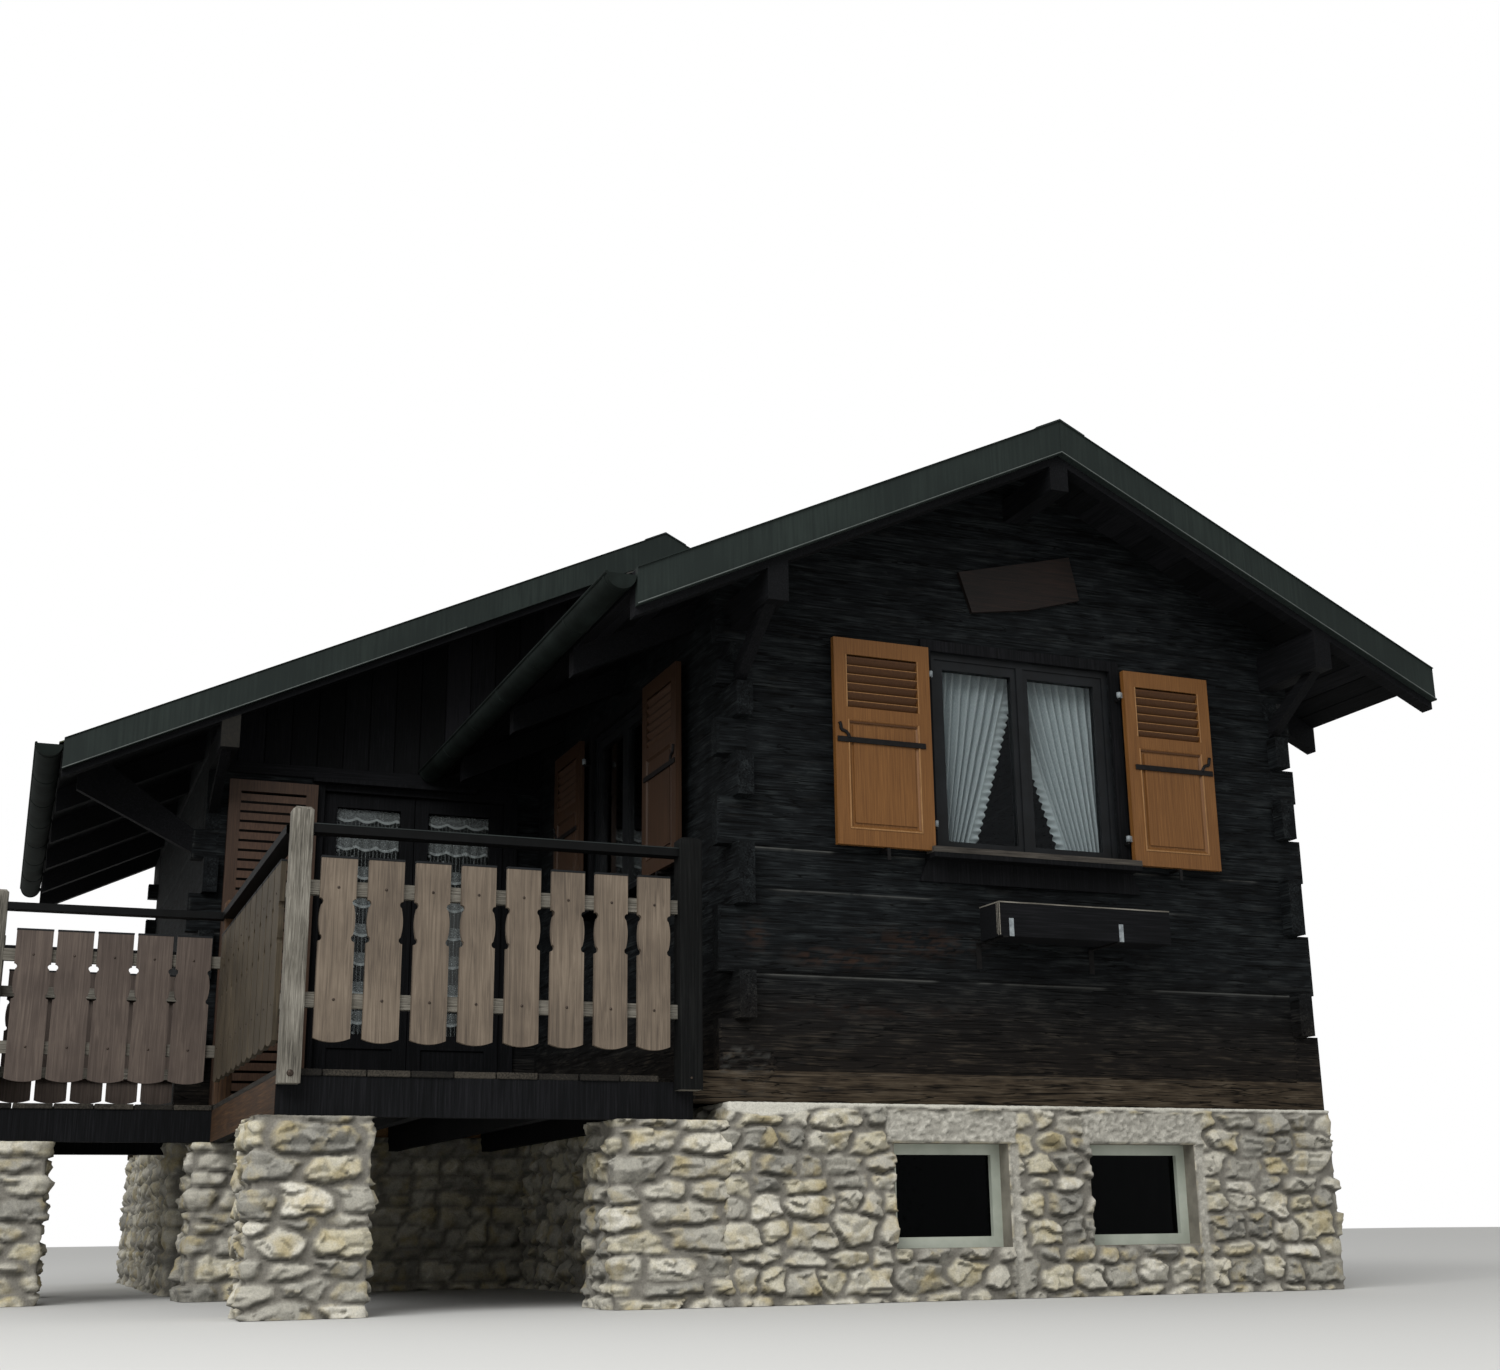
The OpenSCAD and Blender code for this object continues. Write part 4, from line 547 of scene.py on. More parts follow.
def clearGlass(name):
    v = glassValues
    tree = newMaterial(name)
    place = addNode(tree, "TexCoord", {}, "Object")
    height = addNode(tree, "SeparateXYZ", {"Vector": place}, "Z")
    low = addNode(tree, "Math", {"operation": "LESS_THAN", 0: height, 1: v["cellar"]})
    # painted shade: the glass is darker below "cellar", and the grey sheen dims every reflection
    tint, shine = (addNode(tree, "Mix", {"data_type": "RGBA", 0: low, 6: hexColor(v[above]), 7: hexColor(v[below])}, 2)
                   for above, below in (("tint", "low"), ("sheen", "lowSheen")))
    shader = addNode(tree, "BsdfPrincipled", {"Base Color": tint, "Roughness": v["rough"], "IOR": v["index"],
                                              "Transmission Weight": 1.0, "Specular Tint": shine})
    clear = addNode(tree, "BsdfTransparent", {"Color": tint})
    rays = addNode(tree, "LightPath", {}).node.outputs
    passes = addNode(tree, "Math", {"operation": "MAXIMUM", 0: rays["Is Shadow Ray"], 1: rays["Is Diffuse Ray"]})
    mix = addNode(tree, "MixShader", {0: passes, 1: shader, 2: clear})
    addNode(tree, "OutputMaterial", {"Surface": mix})


clearGlass("float_glass")

# Sheer polyester voile: white, thin, with fine upright threads drawn coarser than real so that they show.
# The threads are in millimetres, across the cloth and down it, and alpha goes from between them to on them
voileValues = {"color": "#b9c3c8", "thread": (3.0, 1000 / 60), "rough": 0.8, "sheen": 0.4, "alpha": (0.72, 0.95)}
ruffleValues = {**voileValues, "alpha": (0.9, 1.0)}


def voile(name, v):
    tree = newMaterial(name)
    place = addNode(tree, "UVMap", {"uv_map": "cloth"})
    warp = addNode(tree, "Mapping", {"Vector": place, "Scale": (*(1000 / size for size in v["thread"]), 1)})
    threads = addNode(tree, "TexNoise", {"Vector": warp, "Scale": 1.0, "Detail": 2.0})
    alpha = addNode(tree, "MapRange", {"Value": threads, "From Min": 0.3, "From Max": 0.7, "To Min": v["alpha"][0],
                                       "To Max": v["alpha"][1]})
    shader = addNode(tree, "BsdfPrincipled", {"Base Color": hexColor(v["color"]), "Roughness": v["rough"],
                                              "Sheen Weight": v["sheen"], "Alpha": alpha})
    addNode(tree, "OutputMaterial", {"Surface": shader})


# Cotton lace: tiers of plain cloth, each with a scalloped and corded foot over a dark net with bars and dots.
# tier, scallop, bar and dot are metres on the cloth, cloth, deep and line shares of a tier, and solid, cord,
# net, bars and dots say how dense each is
laceValues = {"color": "#a6aaac", "tier": 0.19, "cloth": 0.3, "deep": 0.11, "line": 0.045, "scallop": 0.139,
              "bar": 0.026, "barShare": 0.22, "dot": 0.052, "dotSize": 0.17, "dotScatter": 0.45, "motif": 1 / 55,
              "solid": 0.42, "cord": 0.95, "net": 0.06, "bars": 0.3, "dots": 0.85, "rough": 0.85, "sheen": 0.3}


def lace(name, v):
    tree = newMaterial(name)
    place = addNode(tree, "UVMap", {"uv_map": "cloth"})
    parts = addNode(tree, "SeparateXYZ", {"Vector": place}).node.outputs
    found = {"u": parts["X"], "v": parts["Y"]}
    found["motif"] = addNode(tree, "TexNoise", {"Vector": place, "Scale": 1 / v["motif"], "Detail": 3.0})
    found["spots"] = addNode(tree, "TexVoronoi", {"Vector": place, "Scale": 1 / v["dot"],
                                                  "Randomness": v["dotScatter"]})
    # each line: what is found, how, and from what; a name stands for what an earlier line has found
    for made, operation, *given in (
            ("row", "MULTIPLY", "v", 1 / v["tier"]), ("row", "FRACT", "row"),
            ("bow", "MULTIPLY", "u", 3.14159 / v["scallop"]), ("bow", "SINE", "bow"), ("bow", "ABSOLUTE", "bow"),
            ("edge", "MULTIPLY_ADD", "bow", v["deep"], v["cloth"]), ("solid", "LESS_THAN", "row", "edge"),
            ("cord", "SUBTRACT", "row", "edge"), ("cord", "ABSOLUTE", "cord"),
            ("cord", "LESS_THAN", "cord", v["line"]), ("cord", "MULTIPLY", "cord", v["cord"]),
            ("cloth", "MULTIPLY_ADD", "motif", v["solid"], v["solid"] / 2),
            ("bars", "MULTIPLY", "u", 1 / v["bar"]), ("bars", "FRACT", "bars"),
            ("bars", "LESS_THAN", "bars", v["barShare"]), ("net", "MULTIPLY_ADD", "bars", v["bars"], v["net"]),
            ("dots", "LESS_THAN", "spots", v["dotSize"]), ("dots", "MULTIPLY", "dots", v["dots"]),
            ("net", "MAXIMUM", "net", "dots")):
        found[made] = addNode(tree, "Math", {"operation": operation,
                                             **{i: found.get(x, x) for i, x in enumerate(given)}})
    alpha = addNode(tree, "Mix", {"data_type": "FLOAT", 0: found["solid"], 2: found["net"], 3: found["cloth"]})
    alpha = addNode(tree, "Math", {"operation": "MAXIMUM", 0: alpha, 1: found["cord"]})
    shader = addNode(tree, "BsdfPrincipled", {"Base Color": hexColor(v["color"]), "Roughness": v["rough"],
                                              "Sheen Weight": v["sheen"], "Alpha": alpha})
    addNode(tree, "OutputMaterial", {"Surface": shader})


voile("polyester_voile", voileValues)
voile("polyester_voile_ruffle", ruffleValues)
lace("cotton_lace", laceValues)
print("stage: glass and cloth")

# What each piece of the frame is made of
finishes = {
    "hewn_logs_across": ("front_wall", "wing_wall_left", "wing_wall_right", "rear_wall"),
    "hewn_logs_deep": ("left_wall", "right_wall", "wing_left_wall"),
    "stained_softwood_upright": ("wing_gable", "deck_beams", "door_frame", "door_leaf_left", "door_leaf_right",
                                 "window_casings"),
    "stained_softwood_deep": ("rafters", "front_roof_left", "front_roof_right", "wing_roof_left",
                              "wing_roof_right", "braces", "purlins"),
    "stained_softwood_across": ("flower_box",), "planed_larch_dark": ("name_board",),
    "planed_spruce_floor": ("main_floor",), "deck_boards_dirty": ("deck_floor",),
    "lime_cement_mortar": ("plinth_front", "plinth_left", "plinth_right", "plinth_rear", "deck_piers"),
    "cast_concrete": ("cellar_floor",), "coated_barge_sheet": ("barge_boards",),
    "coated_steel_sheet": ("ridge_caps",), "coated_gutter_sheet": ("gutters",),
    "painted_sash_charcoal": ("front_window", "other_windows"), "painted_sash_pale_green": ("cellar_windows",),
    "painted_iron": ("wall_irons",), "float_glass": ("window_glass", "door_glass_left", "door_glass_right"),
    "polyester_voile": ("window_curtains", "door_curtain_left", "door_curtain_right"),
    "weathered_softwood_upright": ("deck_posts",), "weathered_softwood_across": ("deck_rails",),
    "composite_boards_taupe": ("railing_front",), "softwood_boards_olive_brown": ("railing_left",),
    "composite_boards_umber": ("railing_back",),
    "glazed_softwood_tan": ("shutter_front_left", "shutter_front_right"),
    "glazed_softwood_red_brown": ("shutter_side_near", "shutter_side_far", "shutter_door")}
for material, names in finishes.items():
    for name in names:
        nodes[name].data.materials.clear()
        nodes[name].data.materials.append(finish[material])
print("stage: finishes given to", sum(len(names) for names in finishes.values()), "nodes")

# Lines of the roof: each ridge and eave as x and z, the pitch as rise over run, the slab's depth under them
roofLines = {"ridge": (1705, 4529.4), "wingRidge": (683, 5019.96), "pitch": 0.48, "slab": 75,
             "eaveLeft": (-685, 3382.2), "eaveRight": (4095, 3382.2), "wingEave": (-3098, 3205.08)}


# Height of the roof's underside at x: the ridge's height less the run to it times the pitch, less the slab
def roofUnder(x, ridge):
    return ridge[1] - abs(x - ridge[0]) * roofLines["pitch"] - roofLines["slab"]


# Share from 0 to 1 as x goes from low to low + run, with level ends
def above(x, low, run):
    return ease((x - low) / run)


# Bell curve: 1 where x is 0, nearly 0 at twice the width
def bell(x, width):
    return np.exp(-(x / width) ** 2)


# Log faces: a skin over each wall. Its depth is the wall's own section, with hewing on top: long waves
# along the grain, short adze scallops and fine ridges, cut by checks where a slow noise crosses its middle.
# Sizes are mm along and up; rotten is where the corner of the lowest log has rotted: middle, half width and
# half height; bare patches have a share as well
logValues = {"step": (17, 12), "seam": 8, "groove": 9, "setBack": 5, "lift": 0.8, "wave": 3.4, "waveSize": (900, 48),
             "scallop": 2.2, "scallopSize": (150, 60), "ridge": 1.2, "ridgeSize": (300, 13), "check": 2.6,
             "checkSize": (620, 30), "checkShare": 0.014, "drift": 9, "driftSize": (260, 7.0), "proud": 0.6,
             "rotten": (70, 1070, 135, 118), "rotDepth": 9, "rimDepth": 13, "seamHighlightElsewhere": 0.08,
             # strength of the painted highlight lines under the seams: a little under each, more under the seams listed
             # here
             "seamHighlights": {1562: 0.75, 1986: 0.6, 2198: 0.95},
             "bare": ((120, 1745, 60, 75, 0.6), (440, 1655, 110, 40, 0.85), (680, 1640, 130, 38, 0.85),
                      (1030, 1745, 260, 60, 0.65), (800, 1390, 500, 40, 0.25))}
plinthTop, windowFoot, windowHead = 930, 2196, 3352
frontSeams = [plinthTop, 1082, 1562, 1986, 2198, 2661, 3030, 3256, 3481, *range(3706, 4832, 225)]
sideSeams = [plinthTop, 1332, 1893, 2439, 2853, 3148, 3373]
frontEnds = [(plinthTop, 1082), (1082, 1332), (1562, 1893), (2198, 2439), (2661, 2853), (3030, 3148), (3256, 3373),
             (3481, 3726)]
# Each wall runs across or deep, faces one way (-1 front or left) from its plane and reaches over span. Past
# whole only the bands "through" run on, and holes and cut are left out. It ends at top, or under a roof
logWalls = {
    "front_logs": {"runs": "across", "plane": 0, "way": -1, "span": (-217, 3485), "whole": (90, 3320),
                   "seams": frontSeams, "through": frontEnds, "top": 9000, "under": "ridge", "seed": 11,
                   "holes": [(1120, 2290, windowFoot, windowHead)], "aged": True,
                   "cut": [(-217, -75, 1082, 5000), (3410, 3485, 3373, 5000), (-75, 0, 3373, 5000)]},
    "left_logs": {"runs": "deep", "plane": 0, "way": -1, "span": (92, 3596), "seams": sideSeams, "top": 3600,
                  "holes": [(1175, 2345, windowFoot, windowHead)], "seed": 23, "step": (34, 13)},
    "wing_front_logs": {"runs": "across", "plane": 3600, "way": -1, "span": (-2275, -1500), "whole": (-2110, -1500),
                        "seams": frontSeams[:8], "through": frontEnds[:6], "top": 3312, "seed": 37, "step": (20, 13),
                        "cut": [(-2275, -2200, plinthTop, 1082), (-2275, -2200, 3000, 3400)]},
    "wing_side_logs": {"runs": "deep", "plane": -2200, "way": -1, "span": (3692, 7308), "seams": sideSeams,
                       "top": 3480, "seed": 41, "step": (40, 15)},
    "right_logs": {"runs": "deep", "plane": 3410, "way": 1, "span": (92, 7308), "seams": sideSeams, "top": 3640,
                   "holes": [(4915, 6085, windowFoot, windowHead)], "seed": 53, "step": (40, 15)},
    "rear_logs": {"runs": "across", "plane": 7400, "way": 1, "span": (-2110, 3320), "seams": frontSeams, "top": 5019,
                  "under": "wingRidge", "holes": [(98, 1268, windowFoot, windowHead)], "seed": 67,
                  "step": (40, 15)}}


def logFace(name, wall):
    v, seed = logValues, wall["seed"]
    (low, high), seams = wall["span"], np.array(wall["seams"])
    whole, through, holes = wall.get("whole", (low, high)), wall.get("through", []), wall.get("holes", [])

    def top(x):
        roof = roofUnder(x, roofLines[wall["under"]]) if "under" in wall else wall["top"] + 0 * x
        return np.minimum(roof, wall["top"])

    du, dz = wall.get("step", v["step"])
    marks = [s + d for s in seams for d in (-13, -8, 0, 8)] + [z for band in through for z in band]
    marks += [z for hole in holes for z in hole[2:]]
    across = gridLines(low, high, du, [*whole] + [x for hole in holes for x in hole[:2]])
    up = gridLines(plinthTop, top(across).max() + dz, dz, marks)
    U, Z = np.meshgrid(across, up, indexing="ij")
    near = seams[np.argmin(abs(Z[..., None] - seams), -1)]
    gap = abs(Z - near)

    def field(size, add, octaves=4, height=Z):
        return rough(U / size[0], height / size[1], seed + add, octaves)

    # the wall's own section, from its corner points: a set-back course between each two, a groove at seams
    points = []
    for i, s in enumerate(seams):
        inset = v["setBack"] * (i % 2)
        points += [(s + (v["seam"] if i else 0), -inset)]
        if i + 1 < len(seams):
            points += [(seams[i + 1] - v["seam"], -inset), (seams[i + 1], -inset - v["groove"])]
    sectionZ, section = np.array(points).T
    drift = v["drift"] * (field(v["driftSize"], 3, height=near) - 0.5) * bell(gap, 26)
    corner = (U < whole[0]) | (U > whole[1])
    exact = np.where(corner, 0, np.interp(Z, sectionZ, section))
    shifted = np.where(corner, 0, np.interp(Z + drift, sectionZ, section))
    scallop, ridge = field(v["scallopSize"], 5), field(v["ridgeSize"], 7)
    relief = v["lift"] + v["wave"] * field(v["waveSize"], 0) + v["scallop"] * scallop + v["ridge"] * ridge
    relief *= 0.35 + 0.65 * ease(gap / 24)
    crack = abs(field(v["checkSize"], 9, 3) - 0.5) < v["checkShare"]
    depth = np.maximum(exact, shifted) + relief - v["check"] * crack
    rot = rim = bare = np.zeros_like(U)
    if "aged" in wall:  # a rotten place, broken inside and with a swollen rim above, and patches of bare wood
        x, z, wide, tall = v["rotten"]
        rot = np.exp(-((U - x) / wide) ** 4 - ((Z - z) / tall) ** 4)
        rim = bell(rot - 0.5, 0.2) * (Z > z)
        broken = np.clip(facets(U / 52, Z / 21, seed + 51) + 0.25, 0, 1)
        depth += rot * (v["rotDepth"] * broken + v["rotDepth"] * abs(field((60, 24), 53) - 0.5))
        depth += v["rimDepth"] * rim * (0.4 + 0.6 * field((40, 20), 59))
        bare = sum(share * np.exp(-((U - x) / wide) ** 2 - ((Z - z) / tall) ** 2)
                   for x, z, wide, tall, share in v["bare"]) * above(field((46, 11), 31), 0.44, 0.12)
    depth = np.maximum(depth, exact + v["proud"])
    # cells: under the top, outside the holes, and past the whole part only where the logs run through
    cu, cz = (U[1:, 1:] + U[:-1, :-1]) / 2, (Z[1:, 1:] + Z[:-1, :-1]) / 2
    keep = (Z[:-1, :-1] < top(cu)) & ~within(cu, cz, holes + wall.get("cut", []))
    keep &= within(cu, cz, [(low, high, *band) for band in through]) | ((cu > whole[0]) & (cu < whole[1]))
    depth = np.where(rimOf(keep), -2, depth)
    # painted highlight: thin pale lines on the arrises under some seams and on the ridges; wear: pale log tips and the
    # rotten place's rim
    strength = np.full_like(U, v["seamHighlightElsewhere"])
    for seam, share in v["seamHighlights"].items():
        strength[near == seam] = share
    highlightRuns = above(field((330, 11.0), 21, 3, near), 0.42, 0.2)
    wearAndHighlight = strength * highlightRuns * bell(Z - near + 9, 3.2) * above(field((46, 5.0), 23, height=near), 0, 0.45)
    wearAndHighlight += 0.07 * above(scallop, 0.6, 0.12) * above(ridge, 0.55, 0.15)
    tip = corner * (bell(U - low, 11) + bell(U - high, 11))
    wearAndHighlight += 0.3 * tip * above(field((30, 26), 41), 0.5, 0.1)
    wearAndHighlight += (0.14 * rot + 0.3 * rim) * above(field((40, 8), 57), 0.5, 0.14)
    out = wall["plane"] + wall["way"] * depth
    deep = wall["runs"] == "deep"
    surface(name, np.stack([out, U, Z] if deep else [U, out, Z], -1), "hewn_logs_" + wall["runs"], keep=keep,
            flip=deep == (wall["way"] < 0), smooth=True, slot="logs", values={"wearAndHighlight": wearAndHighlight, "bare": bare})


for name, wall in logWalls.items():
    logFace(name, wall)
print("stage: hewn log faces")

# Rubble walls. Each stone is the field nearer to its own middle than to any other, measured in its own width
# and height, turned a little, with an outline that waves with the angle. Its face is broken into planes.
stoneValues = {"rows": (66, 140), "widths": (125, 320), "joint": 4, "edge": 11, "reach": 0.6, "proud": (14, 40),
               "tilt": 34, "facet": 46, "facetSize": (84, 52), "warp": 24, "turn": 0.16, "round": 3.4, "search": 420}
pierValues = {**stoneValues, "rows": (60, 135), "widths": (210, 430), "turn": 0.08}


# Courses of stones: a row each with middle x and z, width, height, how proud it lies, tone, tilt along and
# up, turn, and phase of its outline
def layStones(length, height, v, rng):
    stones = []
    z = -30.0
    while z < height:
        tall = rng.uniform(*v["rows"])
        x = rng.uniform(-150, 0)
        while x < length:
            wide = rng.uniform(*v["widths"]) * (0.6 + 0.4 * tall / v["rows"][1])
            stones.append((x + wide / 2, z + tall / 2 + rng.uniform(-0.25, 0.25) * tall, wide,
                           tall * rng.uniform(0.85, 1.2), rng.uniform(*v["proud"]), rng.uniform(0, 1),
                           rng.uniform(-1, 1), rng.uniform(-1, 1), rng.uniform(-v["turn"], v["turn"]),
                           rng.uniform(0, 6.3)))
            x += wide
        z += tall
    return np.array(stones)


def stoneField(U, V, length, height, v, seed, closed=False):
    stones = layStones(length, height, v, np.random.default_rng(seed))
    if closed:  # the same stones again past both ends, so that the field closes round the pier
        shift = np.zeros(stones.shape[1])
        shift[0] = length
        stones = np.concatenate([stones - shift, stones, stones + shift])
    u = (U + v["warp"] * (rough(U / 60, V / 60, seed + 1) - 0.5)).ravel()
    w = (V + v["warp"] * (rough(U / 50, V / 50, seed + 2) - 0.5)).ravel()
    first, second, which = np.empty(u.size), np.empty(u.size), np.empty(u.size, int)
    for part in np.array_split(np.arange(u.size), u.size // 4000 + 1):  # in strips, with the stones near each
        low, high = u[part].min() - v["search"], u[part].max() + v["search"]
        near = np.flatnonzero((stones[:, 0] > low) & (stones[:, 0] < high))
        x, z, wide, tall, turn, phase = stones[near][:, None, [0, 1, 2, 3, 8, 9]].T
        du, dw = u[part, None] - x, w[part, None] - z
        cos, sin = np.cos(turn), np.sin(turn)
        a, b = (du * cos + dw * sin) / wide, (dw * cos - du * sin) / tall
        angle = np.arctan2(b, a)
        far = (abs(a) ** v["round"] + abs(b) ** v["round"]) ** (1 / v["round"])
        far *= 1 + 0.1 * np.sin(3 * angle + phase) + 0.07 * np.sin(5 * angle + 2 * phase)
        best = far.argmin(1)
        rows = np.arange(len(part))
        which[part], first[part] = near[best], far[rows, best]
        far[rows, best] = np.inf
        second[part] = far.min(1)
    x, z, wide, tall, proud, tone, tiltX, tiltZ = stones[which].T[:8]
    size = np.minimum(wide, tall)
    inside = np.minimum((second - first) * size / 2 - v["joint"], (v["reach"] - first) * size)
    rise = ease(inside / v["edge"])
    tilt = tiltX * (u - x) / wide + tiltZ * (w - z) / tall
    broken = facets(U.ravel() / v["facetSize"][0], V.ravel() / v["facetSize"][1], seed + 5)
    out = rise * (proud * (1 - 1.1 * first ** 2) + v["tilt"] * tilt + v["facet"] * broken)
    out = np.maximum(out, rise * 5) + 2 + 4 * rough(U / 26, V / 26, seed + 6).ravel()
    return (a.reshape(U.shape) for a in (out, tone, 1 - rise))


# Lengths along a run at which its corners lie
def runStops(corners):
    sides = np.diff(np.asarray(corners, float), axis=0)
    return np.concatenate([[0], np.cumsum(np.hypot(sides[:, 0], sides[:, 1]))])


# Plan of a run of wall: the places along it, the way out, which at a corner is the two sides' sum, and how
# far the next corner is
def runPlan(corners, along):
    corners = np.asarray(corners, float)
    sides, stops = np.diff(corners, axis=0), runStops(corners)
    x, y = np.interp(along, stops, corners[:, 0]), np.interp(along, stops, corners[:, 1])
    ways = sides / np.hypot(sides[:, 0], sides[:, 1])[:, None]
    normals = np.stack([ways[:, 1], -ways[:, 0]], -1)
    side = np.clip(np.searchsorted(stops, along, side="right") - 1, 0, len(sides) - 1)
    out = normals[side]
    for i in range(1, len(stops) - 1):
        out[abs(along - stops[i]) < 0.01] = normals[i - 1] + normals[i]
    return x, y, out, np.min(abs(along[:, None] - stops[None, 1:-1]), 1)


# A skin of rubble on a run of wall, from the ground to its top and inwards over the ledge. Lintels are cast
# concrete beside and over a window: flat, with pebbles and pits; lime is fresh mortar along the top
def rubbleRun(name, corners, height, ledge, step, seed, closed=False, holes=(), lintels=(), lime=0, part=None,
              values=stoneValues):
    stops = runStops(corners)
    low, high = part or (0, stops[-1])
    across = gridLines(low, high, step, [*stops[1:-1]] + [x for hole in holes for x in hole[:2]])
    up = gridLines(0, height + ledge, step, [height] + [z for hole in holes for z in hole[2:]])
    x, y, out, corner = runPlan(corners, across)
    U, V = np.meshgrid(across, up, indexing="ij")
    depth, tone, joint = stoneField(U, V, stops[-1], height, values, seed, closed)
    pebble = rough(U / 17, V / 15, seed + 8, 2)
    lump = facets(U / 42, V / 30, seed + 11)
    shares = []
    for x0, x1, z0, z1, proud in lintels:
        cast = proud > 8  # the lintel itself has ragged sides, the strip beside the window is smooth
        ragged = np.minimum(U - x0, x1 - U) - 26 * (rough(U / 40, V / 34, seed + 12) - 0.35) * cast
        shares.append(ease(np.minimum(ragged, np.minimum(V - z0, z1 - V)) / 14))
        depth = depth * (1 - shares[-1]) + shares[-1] * (proud + (11 * (pebble - 0.35) + 18 * lump) * cast)
        joint = np.maximum(joint, shares[-1])
    fresh = np.zeros_like(U)
    if lime:
        edge = height - lime - 46 * bell(U - stops[1] - 190, 230) - 16 * rough(U / 60, 0 * U, seed + 9)
        fresh = ease((V - edge) / 10)
        depth = depth * (1 - fresh) + fresh * (9 + 5 * pebble)
        joint = np.maximum(joint, fresh)
    over = np.maximum(V - height, 0)
    depth *= 1 - 0.45 * np.exp(-corner[:, None] / 14)
    flat = ease(over / 12)
    outward = depth * (1 - flat) - over
    places = np.stack([x[:, None] + out[:, :1] * outward, y[:, None] + out[:, 1:] * outward,
                       np.minimum(V, height) + flat * (2 + 4 * pebble)], -1)
    keep = ~within((U[1:, 1:] + U[:-1, :-1]) / 2, (V[1:, 1:] + V[:-1, :-1]) / 2, holes)
    rim = rimOf(keep) & (V > 1) & (U > low + 1) & (U < high - 1) & (V < height + ledge - 1)
    places[..., :2] -= (rim * (depth + 2))[..., None] * out[:, None, :]
    for share in shares:
        fresh = np.maximum(fresh, share * (0.2 + 0.45 * pebble + 0.3 * (lump > 0.12)))
    # painted shade and light: how far each face turns down, for the material to darken undersides and lighten upper
    # faces
    under = np.gradient(depth, axis=1) / np.gradient(V, axis=1)
    under = np.clip(0.17 + 0.75 * under, 0, 1) * (1 - flat)
    surface(name, places, "limestone_rubble", keep=keep, smooth=True, slot="masonry",
            values={"tone": tone, "joint": np.maximum(joint, flat), "lime": fresh, "under": under})


# The plinth's run goes from the inner corner by the wing round the front, right, rear and left sides; "front"
# is where its front side starts and "side" how far round the front's corners the finer front piece reaches.
# The boxes of the piers are x and y; the right one has no fourth side, where it stands against the plinth
plinthValues = {"run": [(-50, 3550), (-50, -50), (3460, -50), (3460, 7450), (-2250, 7450), (-2250, 3550), (-50, 3550)],
                "ledge": 50, "front": 3600, "wide": 3510, "side": 330, "end": 26420, "cellars": (1135.5, 2250.5),
                "cellarWide": 320, "cellarHigh": (245, 745), "seed": 3, "lime": 10}
piers = {"right": ((-603, -50, -30, 420), 9, 71), "left": ((-2235, -1740, -30, 420), 9, 73),
         "corner": ((-2235, -1835, 2480, 2880), 14, 79), "far": ((-3410, -3010, 2480, 2880), 14, 83),
         "back": ((-3410, -3010, 3800, 4200), 14, 89)}
pierTop, pierLedge = 845, 60


def makeRubble():
    v = plinthValues
    front, wide, (foot, head) = v["front"], v["cellarWide"], v["cellarHigh"]
    middles = [front + 50 + x for x in v["cellars"]]
    gaps = [(m - wide, m + wide, foot, head) for m in middles]
    lintels = [(g[0] - 55, g[1] + 55, head, head + 160, 15) for g in gaps]
    lintels += [(g[1], g[1] + 62, 0, head + 5, 3) for g in gaps]
    start, stop = front - v["side"], front + v["wide"] + v["side"]
    fittings = {"holes": gaps, "lintels": lintels, "lime": v["lime"]}
    for side, step, part, more in (("front", 8.5, (start, stop), fittings), ("left", 17, (0, start), {}),
                                   ("rear", 23, (stop, v["end"]), {})):
        rubbleRun("plinth_stones_" + side, v["run"], plinthTop, v["ledge"], step, v["seed"], part=part, **more)
    for name, ((x0, x1, y0, y1), step, seed) in piers.items():
        corners = [(x1, y1), (x0, y1), (x0, y0), (x1, y0), (x1, y1)][:4 if name == "right" else 5]
        rubbleRun("pier_stones_" + name, corners, pierTop, pierLedge, step, seed, closed=name != "right",
                  values=pierValues)


makeRubble()
print("stage: rubble")

# Slopes of the roof: the names of their lines, and where slates and soffit start and end along y, with seeds
roofSlopes = {"front_left": {"lines": ("eaveLeft", "ridge"), "slates": (-452, 3600, 101), "soffit": (-505, 3600, 1)},
              "front_right": {"lines": ("eaveRight", "ridge"), "slates": (-452, 2961, 103), "soffit": (-505, 2961, 2)},
              "wing_left": {"lines": ("wingEave", "wingRidge"), "slates": (3014, 7850, 107), "soffit": (2961, 7905, 3),
                            "mossy": 0.12},
              "wing_right": {"lines": ("eaveRight", "wingRidge"), "slates": (2961, 7850, 109),
                             "soffit": (2961, 7905, 4)}}


# A slope's eave, its length and its way up, a unit vector in x and z; drop lowers its lines
def slopeWay(slope, drop=0):
    eave, ridge = (np.array(roofLines[line], float) - (0, drop) for line in slope["lines"])
    length = np.hypot(*(ridge - eave))
    return eave, length, (ridge - eave) / length


# Roof cover: slates in courses up each slope, every second course shifted by half a slate. A slate is a thin
# wedge: its tail lies on the course below, its head on the roof; tail and head are its lower and upper face
slateValues = {"exposed": 185, "lap": 35, "wide": 270, "gap": 3, "tail": (4, 11), "head": (0.4, 3.5), "drop": 25,
               "least": 25, "uneven": 3, "mossSize": 420, "mossFrom": 0.62, "mossRun": 0.14}


